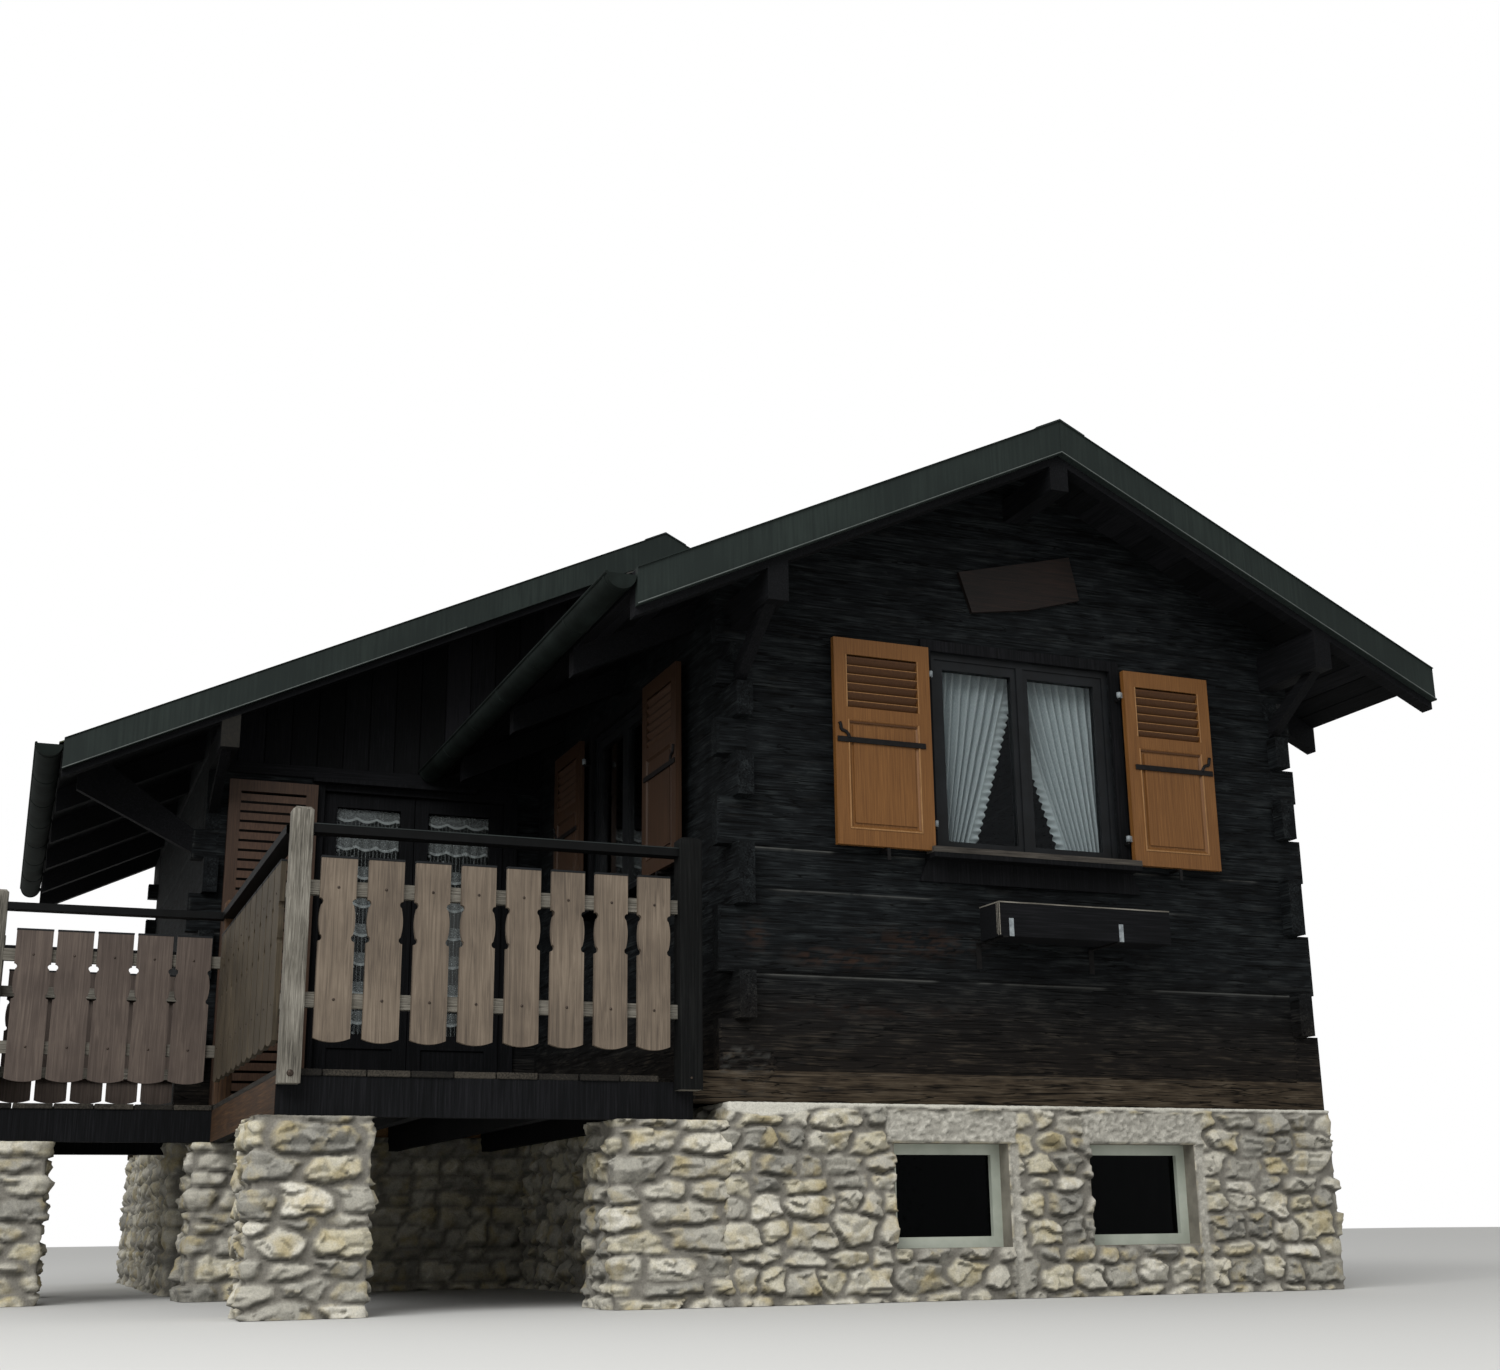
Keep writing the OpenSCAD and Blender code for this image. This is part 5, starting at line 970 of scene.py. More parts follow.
def slates(name, slope):
    v = slateValues
    y0, y1, seed = slope["slates"]
    rng = np.random.default_rng(seed)
    eave, length, way = slopeWay(slope)
    up = np.array([-way[1], way[0]]) * (1 if way[0] > 0 else -1)
    rows = np.arange(0, length - 20, v["exposed"])
    columns = np.arange(-1, (y1 - y0) / v["wide"] + 1)
    R, C = (a.ravel() for a in np.meshgrid(rows, columns, indexing="ij"))
    left = y0 + (C + 0.5 * (np.round(R / v["exposed"]) % 2)) * v["wide"]
    low, high = np.clip(left + v["gap"] / 2, y0, y1), np.clip(left + v["wide"] - v["gap"] / 2, y0, y1)
    good = high - low > v["least"]
    R, low, high = R[good], low[good], high[good]
    tail = R - v["drop"] * (R == 0) + rng.uniform(-v["uneven"], v["uneven"], len(R))
    head = np.minimum(R + v["exposed"] + v["lap"], length)
    corners = np.empty((len(R), 8, 3))
    ends = [(tail, low, "tail"), (head, low, "head"), (head, high, "head"), (tail, high, "tail")]
    for i, (s, y, end) in enumerate(ends * 2):
        h = v[end][i // 4]
        corners[:, i, 0] = eave[0] + way[0] * s + up[0] * h
        corners[:, i, 1] = y
        corners[:, i, 2] = eave[1] + way[1] * s + up[1] * h
    if way[0] < 0:
        corners = corners[:, mirrored]
    x, y = corners.reshape(-1, 3).T[:2] / v["mossSize"]
    moss = ease((rough(x, y, seed + 2) - v["mossFrom"] + slope.get("mossy", 0)) / v["mossRun"])
    blocks(name, corners, "fibre_cement_slates", tone=rng.uniform(-1, 1, len(R)), values={"moss": moss},
           slot="roofing")


for name, slope in roofSlopes.items():
    slates("slates_" + name, slope)


# Profile of matched boards over a length: four places per board, where its face starts and ends between the
# grooves, how far out each lies, and one random tone per board
def boardProfile(length, board, v, rng):
    count = int(length / board)
    starts, wide = np.arange(count) * length / count, length / count
    along = np.stack([starts, starts + v["groove"] / 2, starts + wide - v["groove"] / 2, starts + wide - 0.1], 1)
    out = np.tile([v["thick"] - v["cut"], v["thick"], v["thick"], v["thick"] - v["cut"]], count).astype(float)
    return along.ravel(), out, np.repeat(rng.uniform(-1, 1, count), 4)[:, None]


# Soffits: matched boards under the slabs, as one profile of flat faces and V grooves carried along Y
soffitValues = {"board": 118, "groove": 9, "thick": 7, "cut": 5}


def soffit(name, slope):
    v = soffitValues
    y0, y1, seed = slope["soffit"]
    eave, length, way = slopeWay(slope, roofLines["slab"])
    along, drop, tone = boardProfile(length, v["board"], v, np.random.default_rng(seed))
    drop[[0, -1]] = -1
    x, z = eave[0] + way[0] * along, eave[1] + way[1] * along - drop
    places = np.stack([np.stack([x, np.full_like(x, y), z], -1) for y in (y0, y1)], 1)
    surface(name, places, "stained_softwood_deep", values={"tone": tone}, flip=way[0] > 0, slot="roof_timber")


for name, slope in roofSlopes.items():
    soffit("soffit_" + name, slope)

# Cladding of the wing's gable: upright boards with cut joints, each column from the beam up to the roof
claddingValues = {"board": 167.5, "groove": 10, "thick": 12, "cut": 9, "left": -2200, "wide": 3905, "plane": 3600,
                  "foot": 3318, "tuck": 25, "beam": (-2200, -2, 3578, 3600, 3240, 3318)}


def makeCladding():
    v = claddingValues
    along, out, tone = boardProfile(v["wide"], v["board"], v, np.random.default_rng(5))
    x = v["left"] + along
    top = roofUnder(x, roofLines["wingRidge"]) + v["tuck"]
    foot = np.minimum(v["foot"], top - 5)
    places = np.stack([np.stack([x, v["plane"] - out, foot + (top - foot) * share], -1) for share in (0, 0.5, 1)], 1)
    surface("gable_cladding", places, "stained_softwood_upright", values={"tone": tone}, slot="cladding")
    blocks("gable_beam", straight([v["beam"]]), "stained_softwood_across", soften=3, slot="cladding")


makeCladding()
print("stage: roof and gable boards")

# Deck boards along Y, worn and uneven at their ends. A part is x0, x1, y0, y1; boards in front of the log
# wall's corner start behind its face, and one board across closes the deck under the wing's door
deckValues = {"board": 190, "gap": 6, "top": 1050, "thick": 30, "nose": 12, "wear": 2,
              "parts": ((-2160, 0, -20, 3550), (-3410, -2160, 2480, 3550), (-3410, -2252, 3550, 4200)),
              "cornerLeft": -222, "cornerStart": 97, "closing": (-2250, -2, 3551, 3598)}


def makeDeck():
    v = deckValues
    rng = np.random.default_rng(9)
    rows, foot = [], v["top"] - v["thick"] + 0.2
    for x0, x1, y0, y1 in v["parts"]:
        count = int(round((x1 - x0) / (v["board"] + v["gap"])))
        pitch = (x1 - x0) / count
        for i in range(count):
            a, b = x0 + i * pitch + v["gap"] / 2, x0 + (i + 1) * pitch - v["gap"] / 2
            nose = rng.uniform(0.2, 1) * v["nose"] if y0 < 0 or x1 < -2100 and y0 < 3000 else 0
            start = v["cornerStart"] if b > v["cornerLeft"] and y0 < 0 else y0 - nose
            rows.append((a, b, start, y1, foot, v["top"] - rng.uniform(0, v["wear"])))
    rows.append((*v["closing"], foot, v["top"] - 1))
    blocks("deck_boards", straight(rows), "deck_boards_dirty", tone=rng.uniform(-1, 1, len(rows)), soften=3,
           slot="deck_wood", replaces=("deck_floor",))


makeDeck()
print("stage: deck")


# Sleeves: thin skins round a post, furrowed along it. The depth is fine noise stretched along the length,
# with a check wherever a slow noise crosses its middle, and eased arrises; relief is its least depth, its
# furrows and its checks. cap closes the top: how much higher, and how far in towards the middle it is drawn
def sleeve(name, box, material, seed, relief, cap, slot, step=(6, 30)):
    x0, x1, y0, y1, z0, z1 = box
    loop = [(x0, y1), (x0, y0), (x1, y0), (x1, y1), (x0, y1)]
    stops = runStops(loop)
    across = gridLines(0, stops[-1], step[0], [*stops[1:-1]] + [s + d for s in stops for d in (-3, 3)])
    up = gridLines(z0, z1, step[1])
    x, y, out, corner = runPlan(loop, across)
    out[0] = out[-1] = out[1] + out[-2]
    corner = np.minimum(corner, np.minimum(across, stops[-1] - across))
    U, Z = np.meshgrid(across, up, indexing="ij")
    U = U * (U < stops[-1] - 0.01)  # the last column is the first again
    grain = rough(U / 7, Z / 160, seed)
    crack = abs(rough(U / 24, Z / 420, seed + 3, 3) - 0.5) < 0.02
    depth = relief[0] + relief[1] * grain - relief[2] * crack
    depth = np.maximum(depth * (1 - 0.5 * np.exp(-corner[:, None] / 3)), 0.35)
    rows = [(z, depth[:, i], 0) for i, z in enumerate(up)]
    rows += [(z1 + cap[0], np.ones(len(x)), cap[1]), (z1 + cap[0] + 1, np.zeros(len(x)), 1)]
    middle = np.array([(x0 + x1) / 2, (y0 + y1) / 2])
    edge = np.stack([x, y], -1)
    places = np.stack([np.concatenate([
        (edge + out * d[:, None]) * (1 - pull) + middle * pull, np.full((len(x), 1), z)], 1) for z, d, pull in rows], 1)
    tone = 2 * rough(across[0] / 90, up[0] / 400, seed + 9) - 1
    surface(name, places, material, smooth=True, slot=slot, values={"tone": tone})


# Posts, each a box of x0, x1, y0, y1, z0, z1, and for each kind of post its finish, slot, relief and cap
postKinds = {"grey": ("weathered_softwood_upright", "grey_wood", (1.0, 2.2, 2.6), (19, 0.9)),
             "dark": ("oiled_softwood_dark", "dark_beam", (0.7, 1.0, 1.2), (14, 0.28)),
             "orange": ("oiled_softwood_orange", "grey_wood", (0.7, 1.0, 1.2), (14, 0.28))}
posts = {"post_front_left": ((-2160, -2070, -110, -20, 980, 2193), "grey", 7),
         "post_front_right": ((-316, -206, -110, -20, 980, 2176), "dark", 11),
         "post_corner": ((-2160, -2070, 2435, 2525, 1051, 2193), "orange", 13),
         "post_side_front": ((-3410, -3320, 2480, 2570, 1051, 2193), "grey", 17),
         "post_side_back": ((-3410, -3320, 4110, 4200, 1051, 2193), "grey", 19)}
for name, (box, kind, seed) in posts.items():
    material, slot, relief, cap = postKinds[kind]
    sleeve(name, box, material, seed, relief, cap, slot)
# the side rim beam has a face of oiled wood
blocks("rim_side", straight([(-2161.5, -2159, -18, 2478, 846, 1019)]), "oiled_softwood_beam", slot="dark_beam")

# Handrails: black boards lying on the rails, one a side, and a sheet lip on the front one
handrailValues = {"over": 1.2, "foot": 2096, "top": 2134, "lip": (-2070, -316, -92.6, -88, 2133, 2137.4),
                  "rows": ((-2070, -316, -90, -10), (-2175, -2095, -20, 2435), (-3320, -2160, 2460, 2540),
                           (-3410, -3330, 2570, 4110), (-3320, -2200, 4120, 4200))}


def makeHandrails():
    v = handrailValues
    rows = []
    for x0, x1, y0, y1 in v["rows"]:
        over = v["over"] * (x1 - x0 > y1 - y0)  # it stands over the rail on its long sides
        side = v["over"] - over
        rows.append((x0 - side, x1 + side, y0 - over, y1 + over, v["foot"] - v["over"], v["top"] + v["over"]))
    blocks("handrails", straight(rows), "black_coated_handrail", soften=1, slot="grey_wood")
    blocks("handrail_lip", straight([v["lip"]]), "coated_steel_sheet", slot="grey_wood")


makeHandrails()


# Domes: shallow caps with their flat side on a face, from places and the way out of each
def domes(name, middles, ways, radius, rise, material, slot, sides=12):
    middles, ways = np.asarray(middles, float), np.asarray(ways, float)
    turn = np.linspace(0, 2 * np.pi, sides, endpoint=False)
    rings = [(1, -0.5), (1, 0.35 * rise), (0.72, 0.85 * rise), (0.02, rise)]
    across = np.cross(ways, np.where(abs(ways[:, 2:]) > 0.5, [[1.0, 0, 0]], [[0, 0, 1.0]]))
    across /= np.linalg.norm(across, axis=1)[:, None]
    other = np.cross(ways, across)
    circle = np.cos(turn)[None, :, None] * across[:, None] + np.sin(turn)[None, :, None] * other[:, None]
    points = np.concatenate([middles[:, None] + radius * r * circle + ways[:, None] * h for r, h in rings], 1)
    ring = np.arange(sides)
    after = (ring + 1) % sides
    face = np.concatenate([np.stack([ring, after, after + sides, ring + sides], -1) + k * sides
                           for k in range(len(rings) - 1)])
    faces = (face[None] + np.arange(len(middles))[:, None, None] * sides * len(rings)).reshape(-1, 4)
    makePiece(name, points.reshape(-1, 3), faces, material, smooth=True, slot=slot)


# Railing boards: each has a dark strip over its end grain and one screw at each rail. A run is its first
# middle, the pitch, how many boards, their width, and the way its faces look
boardValues = {"top": 1990, "thick": 25, "screws": (1848, 1346), "radius": 6.5, "rise": 4, "cap": 9,
               "runs": (((-1942, -95), (214, 0), 8, 161, (0, -1)), ((-2180, 147.5), (0, 212), 11, 190, (-1, 0)),
                        ((-3164, 2455), (212, 0), 5, 190, (0, -1)), ((-3415, 2704), (0, 212), 7, 190, (-1, 0)),
                        ((-3184, 4205), (212, 0), 5, 190, (0, 1)))}
bolts = {"post_bolts": ((-2115, -111, 1022), 15, 9), "post_bolt_small": ((-262, -111, 1035), 6, 3)}


def makeBoardFittings():
    v = boardValues
    caps, places, ways = [], [], []
    for (x, y), (px, py), count, wide, way in v["runs"]:
        for i in range(count):
            mx, my, half = x + i * px, y + i * py, wide / 2 + 1.5
            if way[0]:
                side = (mx - 2, mx + v["thick"] + 2, my - half, my + half)
            else:
                side = (mx - half, mx + half, *sorted((my - 2 * -way[1], my - way[1] * (v["thick"] + 2))))
            caps.append((*side, v["top"] - v["cap"], v["top"] + 1.5))
            places += [(mx, my, z) for z in v["screws"]]
            ways += [(*way, 0)] * len(v["screws"])
    blocks("board_caps", straight(caps), "painted_sash_charcoal", soften=1.5, slot="dark_beam")
    domes("board_screws", places, ways, v["radius"], v["rise"], "weathered_screws", "irons")
    for name, (place, radius, rise) in bolts.items():
        domes(name, [place], [(0, -1, 0)], radius, rise, "weathered_screws", "irons")


makeBoardFittings()
print("stage: railings")

# Shutters. Places on a leaf are counted from its hinged edge (u), out of its face (d) and up (z). A frame is
# the leaf's origin, its way along and its way out
leafFrames = {"shutter_front_left": ((1097, -85, 2218), (-1, 0), (0, -1)),
              "shutter_front_right": ((2313, -85, 2218), (1, 0), (0, -1)),
              "shutter_side_near": ((-85, 1152, 2218), (0, -1), (-1, 0)),
              "shutter_side_far": ((-85, 2368, 2218), (0, 1), (-1, 0)),
              "shutter_door": ((-1512, 3515, 1070), (-1, 0), (0, -1))}
leafValues = {"wide": 555.5, "high": 1100, "stile": 74, "field": (726, 1012), "slats": 6, "face": 3.2,
              "panel": (88, 660), "bar": (539, 561), "handle": (519.5, 557, 39.5), "handleRadius": 9,
              "handleTail": ((526, 3.5, 608), (527, 3.5, 624), (533, 3.5, 640)), "hinges": (0.12, 0.86),
              "eyeRadius": 12.7, "doorWide": 560, "doorFields": {"door_low": (74, 1018), "door_high": (1092, 2036)},
              "doorSlats": 15, "doorFace": 46}


def leafPlaces(body, points):
    origin, along, out = leafFrames[body]
    p = np.asarray(points, float)
    return np.stack([origin[0] + p[..., 0] * along[0] + p[..., 1] * out[0],
                     origin[1] + p[..., 0] * along[1] + p[..., 1] * out[1], origin[2] + p[..., 2]], -1)


# True where a leaf's u and out run the other way round than x and -y, so that its faces need turning
def leafTurned(body):
    _, along, out = leafFrames[body]
    return along[0] * out[1] - along[1] * out[0] > 0


def leafBlocks(name, body, corners, material, slot, soften=0):
    corners = np.asarray(corners, float)
    if not leafTurned(body):
        corners = corners[:, mirrored]
    blocks(name, leafPlaces(body, corners), material, body=body, slot=slot, soften=soften)


# Louvres: each slat runs from its raised front edge down to its rear, below the next slat's front. face is
# how much of its front edge shows; where that is little, the rail over the louvres hides the top one's
def louvres(body, field, count, wide, material, edgeMaterial, slot, tag, face):
    stile, (low, high) = leafValues["stile"], field
    pitch = (high - low) / count
    slats, edges = [], []
    for i in range(count):
        top = low + (i + 0.5) * pitch + 13
        rear = top - pitch + 3
        u0, u1 = stile - 1, wide - stile + 1
        slats.append([(u, d, z) for zRear, zTop in ((rear - 8, top - 9), (rear, top))
                      for u, d, z in ((u0, -2.6, zTop), (u1, -2.6, zTop), (u1, -30, zRear), (u0, -30, zRear))])
        if i < count - 1 or face > pitch / 2:
            edges.append((u0, u1, -2.9, -1.2, top - face, top + 0.4))
    # the slats' materials are painted dark as shade; thin edges are painted pale as highlight on the tan leaves and
    # near black as shade on the red-brown side leaves, while the door's broad fronts have the red-brown slat colour
    leafBlocks(tag + "_slats", body, slats, material, slot)
    leafBlocks(tag + "_slat_edges", body, straight(edges), edgeMaterial, slot)


# Moulding round a sunk panel: one profile carried round its four sides with mitred corners
beadProfile = [(-5, -1), (-4, 1.6), (0, 3.0), (4, 1.6), (8, -3.0), (15, -8.0), (17, -10)]


def panelBead(name, body, rect, material, slot):
    u0, u1, z0, z1 = rect
    corners = ((u0, z0, 1, 1), (u1, z0, -1, 1), (u1, z1, -1, -1), (u0, z1, 1, -1), (u0, z0, 1, 1))
    places = np.array([[(u + s * su, d, z + s * sz) for s, d in beadProfile] for u, z, su, sz in corners])
    surface(name, leafPlaces(body, places), material, body=body, slot=slot, flip=not leafTurned(body))


# Tube along a path of places: rings of points square to the path, closed at both ends in its middle
def tube(name, path, radius, material, body, slot, sides=10):
    path = np.asarray(path, float)
    ways = np.gradient(path, axis=0)
    ways /= np.linalg.norm(ways, axis=1)[:, None]
    normal = np.cross(path[1] - path[0], path[-1] - path[0])
    if np.linalg.norm(normal) < 1e-6:
        normal = np.array([1.0, 0, 0]) if abs(ways[0, 2]) > 0.7 else np.array([0.0, 0, 1])
    normal = normal / np.linalg.norm(normal)
    side = np.cross(ways, normal)
    turn = np.linspace(0, 2 * np.pi, sides + 1)
    places = path[:, None] + radius * (np.cos(turn)[None, :, None] * side[:, None]
                                       + np.sin(turn)[None, :, None] * normal)
    ends = [np.broadcast_to(path[i], (1, sides + 1, 3)) for i in (0, -1)]
    surface(name, np.concatenate([ends[0], places, ends[1]]), material, body=body, slot=slot, smooth=True, flip=True)


def makeShutterParts():
    v = leafValues
    inner = (v["stile"], v["wide"] - v["stile"])
    for body in leafFrames:
        front = body.startswith("shutter_front")
        kind = "tan" if front else "red_brown"
        dark, edge, slot = "glazed_slats_" + kind, "glazed_slat_edges_" + kind, kind.split("_")[0] + "_shutter"
        if body == "shutter_door":
            for tag, field in v["doorFields"].items():
                louvres(body, field, v["doorSlats"], v["doorWide"], "glazed_slats_in_shade", dark, slot, tag,
                        v["doorFace"])
            continue
        louvres(body, v["field"], v["slats"], v["wide"], dark, edge, slot, body, v["face"])
        panelBead(body + "_bead", body, (*inner, *v["panel"]), "glazed_softwood_" + kind, slot)
        bar = (39, 546.5, 0.5, 8.0, v["bar"][0] - 3.5, v["bar"][1] + 3.5)
        leafBlocks(body + "_bar", body, straight([bar]), "painted_iron", "irons", soften=1.5)
        if front:  # painted highlight strips, pale as lit arrises, down both sides of the louvres and of the panel, and along the panel's foot
            foot, head = v["panel"]
            strips = ((v["field"], 1.1, -7, -1), (v["panel"], 3.5, -3, 5))
            rows = [(*sorted((u + way * near, u + way * far)), -0.5, out, z0 + 1, z1 - 1)
                    for u, way in zip(inner, (1, -1)) for (z0, z1), out, near, far in strips]
            rows.append((inner[0] - 3, inner[1] + 3, -0.5, 3.5, foot - 5, foot + 3))
            leafBlocks(body + "_painted_arris_highlights", body, straight(rows), edge, slot, soften=0.5)
            # painted shade: a dark strip under the panel's top bead, where it faces down
            bead = (inner[0] + 6, inner[1] - 6, -9, -2.4, head - 17, head - 5)
            leafBlocks(body + "_bead_painted_shade", body, straight([bead]), dark, slot)
        u, z, r = v["handle"]
        turn = np.linspace(np.pi, np.pi / 2, 12)
        path = np.stack([u + r * np.cos(turn), np.full(12, 3.5), z + r * np.sin(turn)], -1)
        tube(body + "_handle", leafPlaces(body, np.concatenate([path, v["handleTail"]])), v["handleRadius"],
             "painted_iron", body, "irons")
        # plated hinge eyes round the pins, with the arms that join them to the leaf
        feet = [share * v["high"] for share in v["hinges"]]
        arms = [(-20, 3, -29.5, -20.5, z - 0.6, z + 30.6) for z in feet]
        leafBlocks(body + "_arms", body, straight(arms), "dull_zinc_strap", "irons")
        for i, z in enumerate(feet):
            pin = [(-20, -25, z + h) for h in (-0.6, 15, 30.6)]
            tube(f"{body}_eye_{i}", leafPlaces(body, pin), v["eyeRadius"], "dull_zinc_strap", body, "irons", sides=16)


makeShutterParts()
print("stage: shutters")

# Cloth. Folds are a sine across the cloth; its height comes from how much longer the cloth is than its run,
# with the slope k for which the mean of sqrt(1 + k^2 cos^2) is that ratio
foldSlopes = np.linspace(0, 9, 91)
foldRatios = np.sqrt(1 + (foldSlopes[:, None] * np.cos(np.linspace(0, np.pi, 181))) ** 2).mean(1)
curtainValues = {"flat": 1.0, "drop": 1.07, "topWide": 548, "footWide": 236, "gather": 1.15, "folds": 10,
                 "rail": 3338, "y": 136, "ruffle": 62, "ruffleWave": 44, "ruffleHigh": 12, "ruffleFlat": 0.05,
                 "sides": {"curtain_left": (1150, 1, 3), "curtain_right": (2260, -1, 8)}}
laceHanging = {"ratio": 1.05, "fold": 62, "y": 3673, "top": 3067, "drop": 1478,
               "sides": {"left": (-1360, -943), "right": (-752, -335)}}


# Both halves of the window's curtain: gathered on the rail over half the window and drawn aside at the foot,
# each with a ruffle on its inner edge, in waves that grow towards its free edge
def makeCurtains():
    v = curtainValues
    drop = v["drop"] * 1000
    for name, (outer, way, seed) in v["sides"].items():
        S, T = np.meshgrid(np.linspace(0, 1, v["folds"] * 12 + 1), np.linspace(0, 1, 64), indexing="ij")
        wide = v["topWide"] + (v["footWide"] - v["topWide"]) * T ** v["gather"]
        slope = np.interp(v["flat"] * 1000 / wide, foldRatios, foldSlopes)
        high = slope * wide / v["folds"] / (2 * np.pi)
        phase = 2 * np.pi * v["folds"] * S + 4.5 * (rough(S * 4, T * 1.6, seed) - 0.5)
        hem = 6 * (rough(S * 9, T * 0, seed + 4) - 0.5) * T
        places = np.stack([outer + way * wide * S, v["y"] + high * np.sin(phase), v["rail"] - drop * T + hem], -1)
        cloth = surface(name, places, "polyester_voile", smooth=True, slot="curtain", flip=way > 0,
                        uv=np.stack([S * v["flat"], T * v["drop"]], -1), replaces=("window_curtains",))
        A, Q = np.meshgrid(np.linspace(0, 1, 260), np.linspace(0, 1, 6), indexing="ij")
        edge = outer + way * (v["topWide"] + (v["footWide"] - v["topWide"]) * A ** v["gather"])
        turn = 2 * np.pi * A * v["drop"] * 1000 / v["ruffleWave"] + 2 * rough(A * 14, 0 * A, seed)
        places = np.stack([edge + way * (Q * v["ruffle"] - 6) + way * 3 * Q * np.cos(turn),
                           v["y"] - 6 + v["ruffleHigh"] * Q * np.sin(turn), v["rail"] - 12 - (drop - 18) * A], -1)
        frill = surface(name + "_ruffle", places, "polyester_voile_ruffle", smooth=True, slot="curtain", flip=way < 0,
                        uv=np.stack([Q * v["ruffleFlat"], A * v["drop"]], -1))


makeCurtains()


# Lace panels behind the door's panes, hung nearly flat with shallow waves
def makeLace():
    v = laceHanging
    drop = v["drop"]
    for side, (x0, x1) in v["sides"].items():
        S, T = np.meshgrid(np.linspace(0, 1, 64), np.linspace(0, 1, 40), indexing="ij")
        wide = x1 - x0
        slope = np.interp(v["ratio"], foldRatios, foldSlopes)
        high = slope * v["fold"] / (2 * np.pi) * ease(T * 6)
        phase = 2 * np.pi * (wide / v["fold"]) * S + 3 * rough(S * 2, T * 1.2, 5)
        places = np.stack([x0 + wide * S, v["y"] + high * np.sin(phase), v["top"] - drop * T], -1)
        panel = surface("lace_" + side, places, "cotton_lace", smooth=True, slot="curtain", flip=True,
                        body="door_" + side, uv=np.stack([S * wide * v["ratio"] / 1000, T * drop / 1000], -1),
                        replaces=("door_curtain_" + side,))


makeLace()
print("stage: cloth")

# Flower box: soil inside, worn upper edges, a corner board at the end and two plated straps; and the sill
# board over it, weathered greyer than the casing
boxValues = {"low": (1352, -272), "high": (2338, -108), "soilTop": 1905, "straps": (1400, 2052), "strap": (26, 92, 3),
             "strapPlace": (-290, 1757), "sill": (1073.8, 2336.2, -111.2, -22, 2207.6, 2238),
             "edges": [(1333, 2357, -291.2, -270, 1928, 1934.2), (1332.5, 1352, -290, -90, 1928, 1934.2),
                       (2338, 2357.5, -290, -90, 1928, 1934.2), (1332.4, 1336, -291.2, -286, 1762, 1932),
                       (1332.4, 1335, -276, -271, 1762, 1930), (1332.4, 1335, -262, -259, 1770, 1930)]}


def makeFlowerBox():
    v = boxValues
    blocks("window_sill_board", straight([v["sill"]]), "weathered_sill_board", soften=1, slot="casing_wood")
    X, Y = np.meshgrid(*(np.linspace(v["low"][i], v["high"][i], n) for i, n in ((0, 90), (1, 18))), indexing="ij")
    height = v["soilTop"] + 14 * (rough(X / 60, Y / 60, 5) - 0.5) + 6 * (rough(X / 14, Y / 14, 6) - 0.5)
    surface("box_soil", np.stack([X, Y, height], -1), "garden_soil", smooth=True, slot="box_wood")
    (wide, tall, thick), (y, z) = v["strap"], v["strapPlace"]
    straps = [(x - wide / 2, x + wide / 2, y - thick, y + 1, z, z + tall) for x in v["straps"]]
    blocks("box_straps", straight(straps), "dull_zinc_strap", soften=1, slot="irons")
    blocks("box_edges", straight(v["edges"]), "weathered_softwood_across", slot="box_wood")


makeFlowerBox()

# Roof edges: joints and drip edges of the barge sheets, moss along the wing's front edge, the end of its wall
# plate, and the gutters' end plates. A gable is its ridge, its barge boards' face and the way that looks
bargeValues = {"joint": 34, "thick": 1.6, "height": 176, "foot": 184, "lip": 9, "edge": 5,
               "joints": (("ridge", -540, -1, (560, 1705, 2840)), ("wingRidge", 2926, -1, (-2040, -870)),
                          ("wingRidge", 7940, 1, (-1600, -200, 1900, 3000))),
               "drips": (("ridge", -540, -1, (-685, 1705)), ("ridge", -540, -1, (1705, 4095)),
                         ("wingRidge", 2926, -1, (-3098, -700)))}
mossValues = {"along": ((-3060, -2050, 46), (-2000, 600, 12), (-1200, 400, 10)), "y": (3020, 3110), "size": (14, 46),
              "smallFrom": -2000, "small": 0.6, "grid": (13, 6)}
plateEnd = {"x": (-2201, -2089), "y": (2959, 2962), "under": 155, "high": 161, "rise": 53}
gutterEnds = {"gutter_end_front": (-764, -537.5, 3342.2), "gutter_end_wing": (-3177, 2928.5, 3165.1)}
gutterRadius = 71


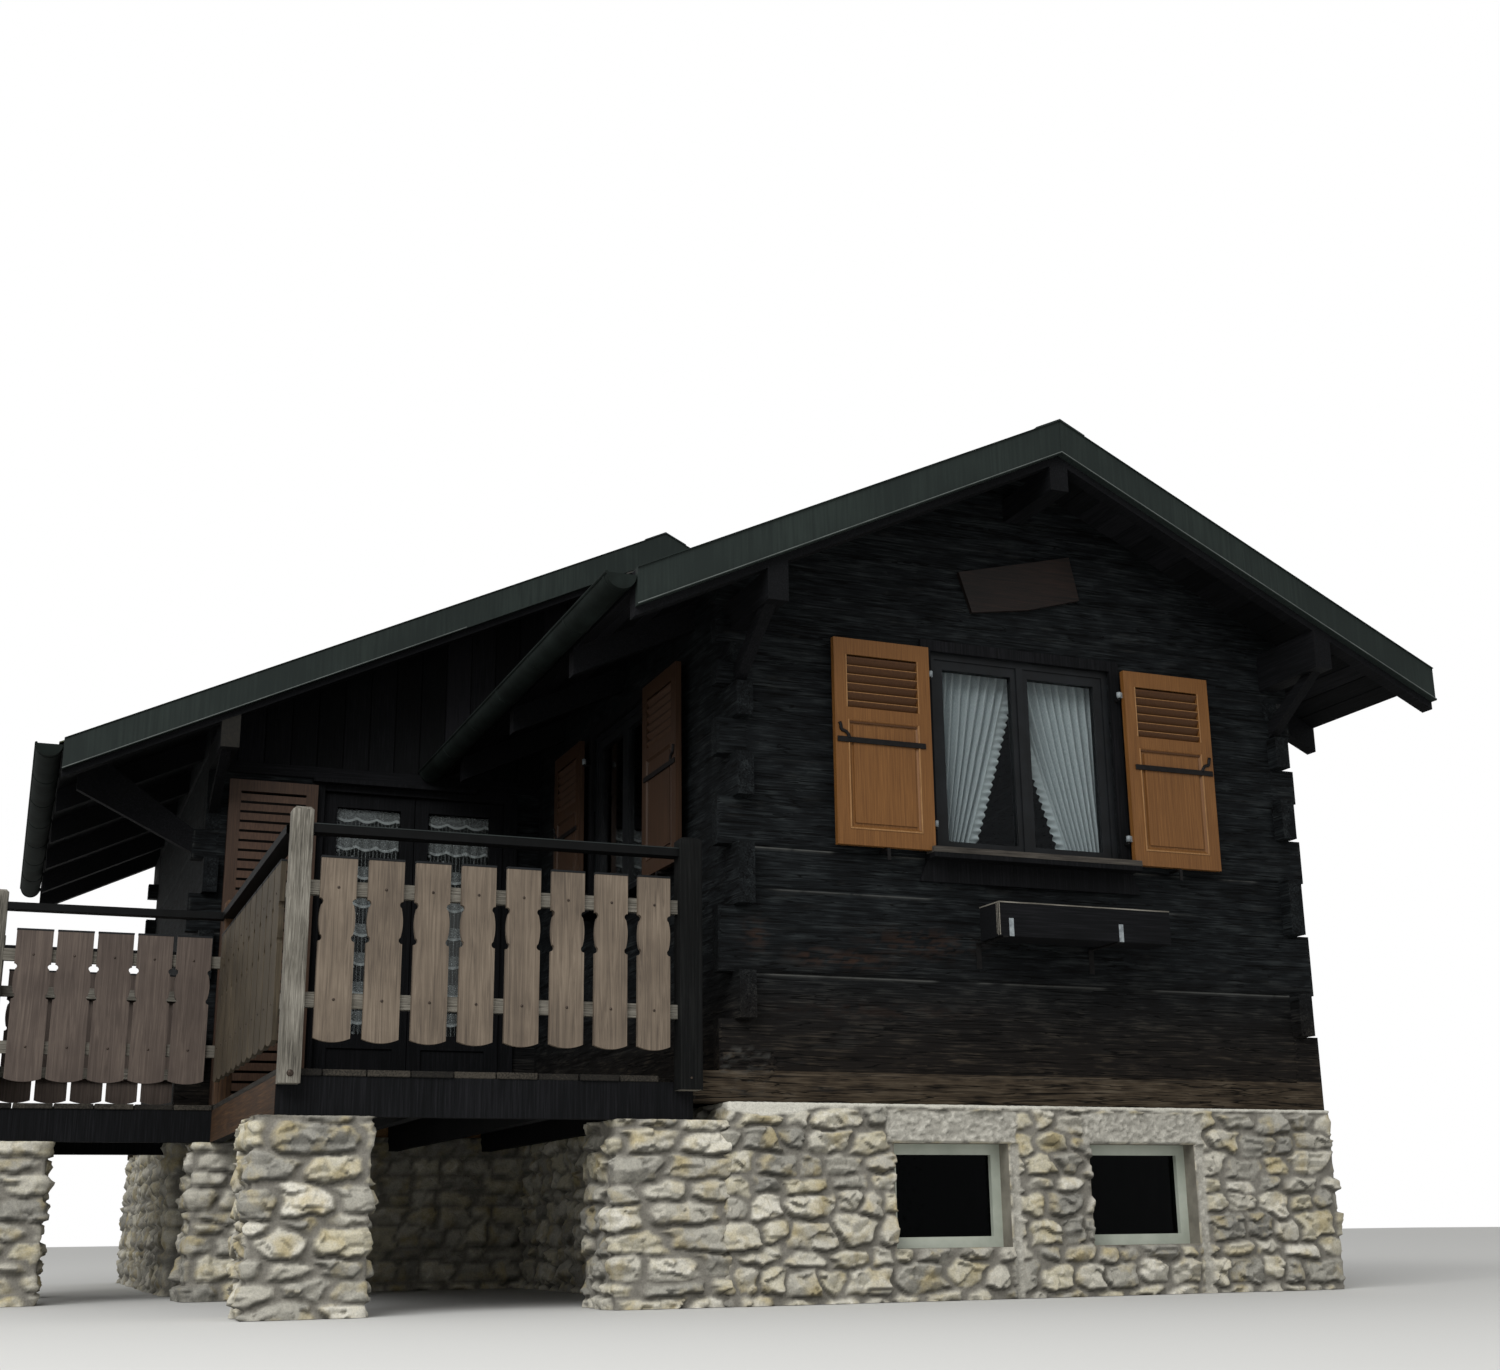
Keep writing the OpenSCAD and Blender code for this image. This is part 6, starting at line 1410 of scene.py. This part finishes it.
def makeBargeEdges():
    v, pitch = bargeValues, roofLines["pitch"]
    corners = []
    for line, face, out, places in v["joints"]:
        ridge = roofLines[line]
        for x in places:
            z = ridge[1] - abs(x - ridge[0]) * pitch
            slope = -pitch * np.sign(x - ridge[0]) * v["joint"]
            corners.append(sloped((x, x + v["joint"]), sorted((face, face + out * v["thick"])),
                                  (z - v["height"], z - v["height"] + slope), (z - 1, z - 1 + slope)))
    blocks("barge_joints", corners, "coated_barge_sheet", slot="sheet_metal")
    drips = []
    for line, face, out, x in v["drips"]:
        ridge = roofLines[line]
        low = [ridge[1] - abs(end - ridge[0]) * pitch - v["foot"] for end in x]
        near, far = face + out * v["lip"], face + out * (v["lip"] + 1.2)
        drips.append(sloped(x, (min(near, far), max(near, far) + 8), low, [z + v["edge"] for z in low]))
    blocks("drip_edges", drips, "worn_sheet_edge", slot="sheet_metal")


# Cushions of moss: half domes over the roof's slope, with a radius that changes round them
def makeMoss():
    v, ridge, pitch = mossValues, roofLines["wingRidge"], roofLines["pitch"]
    rng = np.random.default_rng(4)
    x = np.concatenate([rng.uniform(*run) for run in v["along"]])
    y = rng.uniform(*v["y"], len(x))
    size = rng.uniform(*v["size"], len(x)) * np.where(x < v["smallFrom"], 1, v["small"])
    n, m = v["grid"]
    turn, lift = np.meshgrid(np.linspace(0, 2 * np.pi, n), np.linspace(0, np.pi / 2, m), indexing="ij")
    top = ridge[1] - (ridge[0] - x) * pitch
    index = np.arange(n * m).reshape(n, m)
    quads = np.stack([index[:-1, :-1], index[1:, :-1], index[1:, 1:], index[:-1, 1:]], -1).reshape(-1, 4)
    points = []
    for i in range(len(x)):
        bump = size[i] * (0.75 + 0.5 * rough(turn * 1.3 + i, lift * 2, 7))
        bump[-1] = bump[0]
        px = x[i] + bump * np.cos(turn) * np.cos(lift)
        py = y[i] + bump * np.sin(turn) * np.cos(lift)
        points.append(np.stack([px, py, top[i] + (px - x[i]) * pitch + 0.5 * bump * np.sin(lift) - 3], -1))
    faces = quads[None] + n * m * np.arange(len(x))[:, None, None]
    makePiece("roof_moss", np.array(points).reshape(-1, 3), faces.reshape(-1, 4), "moss", smooth=True, slot="roofing")


def makeEnds():
    v = plateEnd
    z = roofUnder(-2200, roofLines["wingRidge"]) - v["under"]
    corners = sloped(v["x"], v["y"], (z - v["high"], z - v["high"]), (z, z + v["rise"]))
    blocks("plate_end", [corners], "sawn_end_grain", slot="roof_timber")
    turn = np.linspace(np.pi, 2 * np.pi, 25)
    for name, (x, y, z) in gutterEnds.items():
        rim = np.stack([x + gutterRadius * np.cos(turn), np.full(25, y + 1), z + gutterRadius * np.sin(turn)], -1)
        places = np.stack([np.broadcast_to((x, y + 1, z), (25, 3)), rim], 1)
        surface(name, places, "worn_sheet_edge", slot="sheet_metal")


makeBargeEdges()
makeMoss()
makeEnds()
print("stage: fittings")
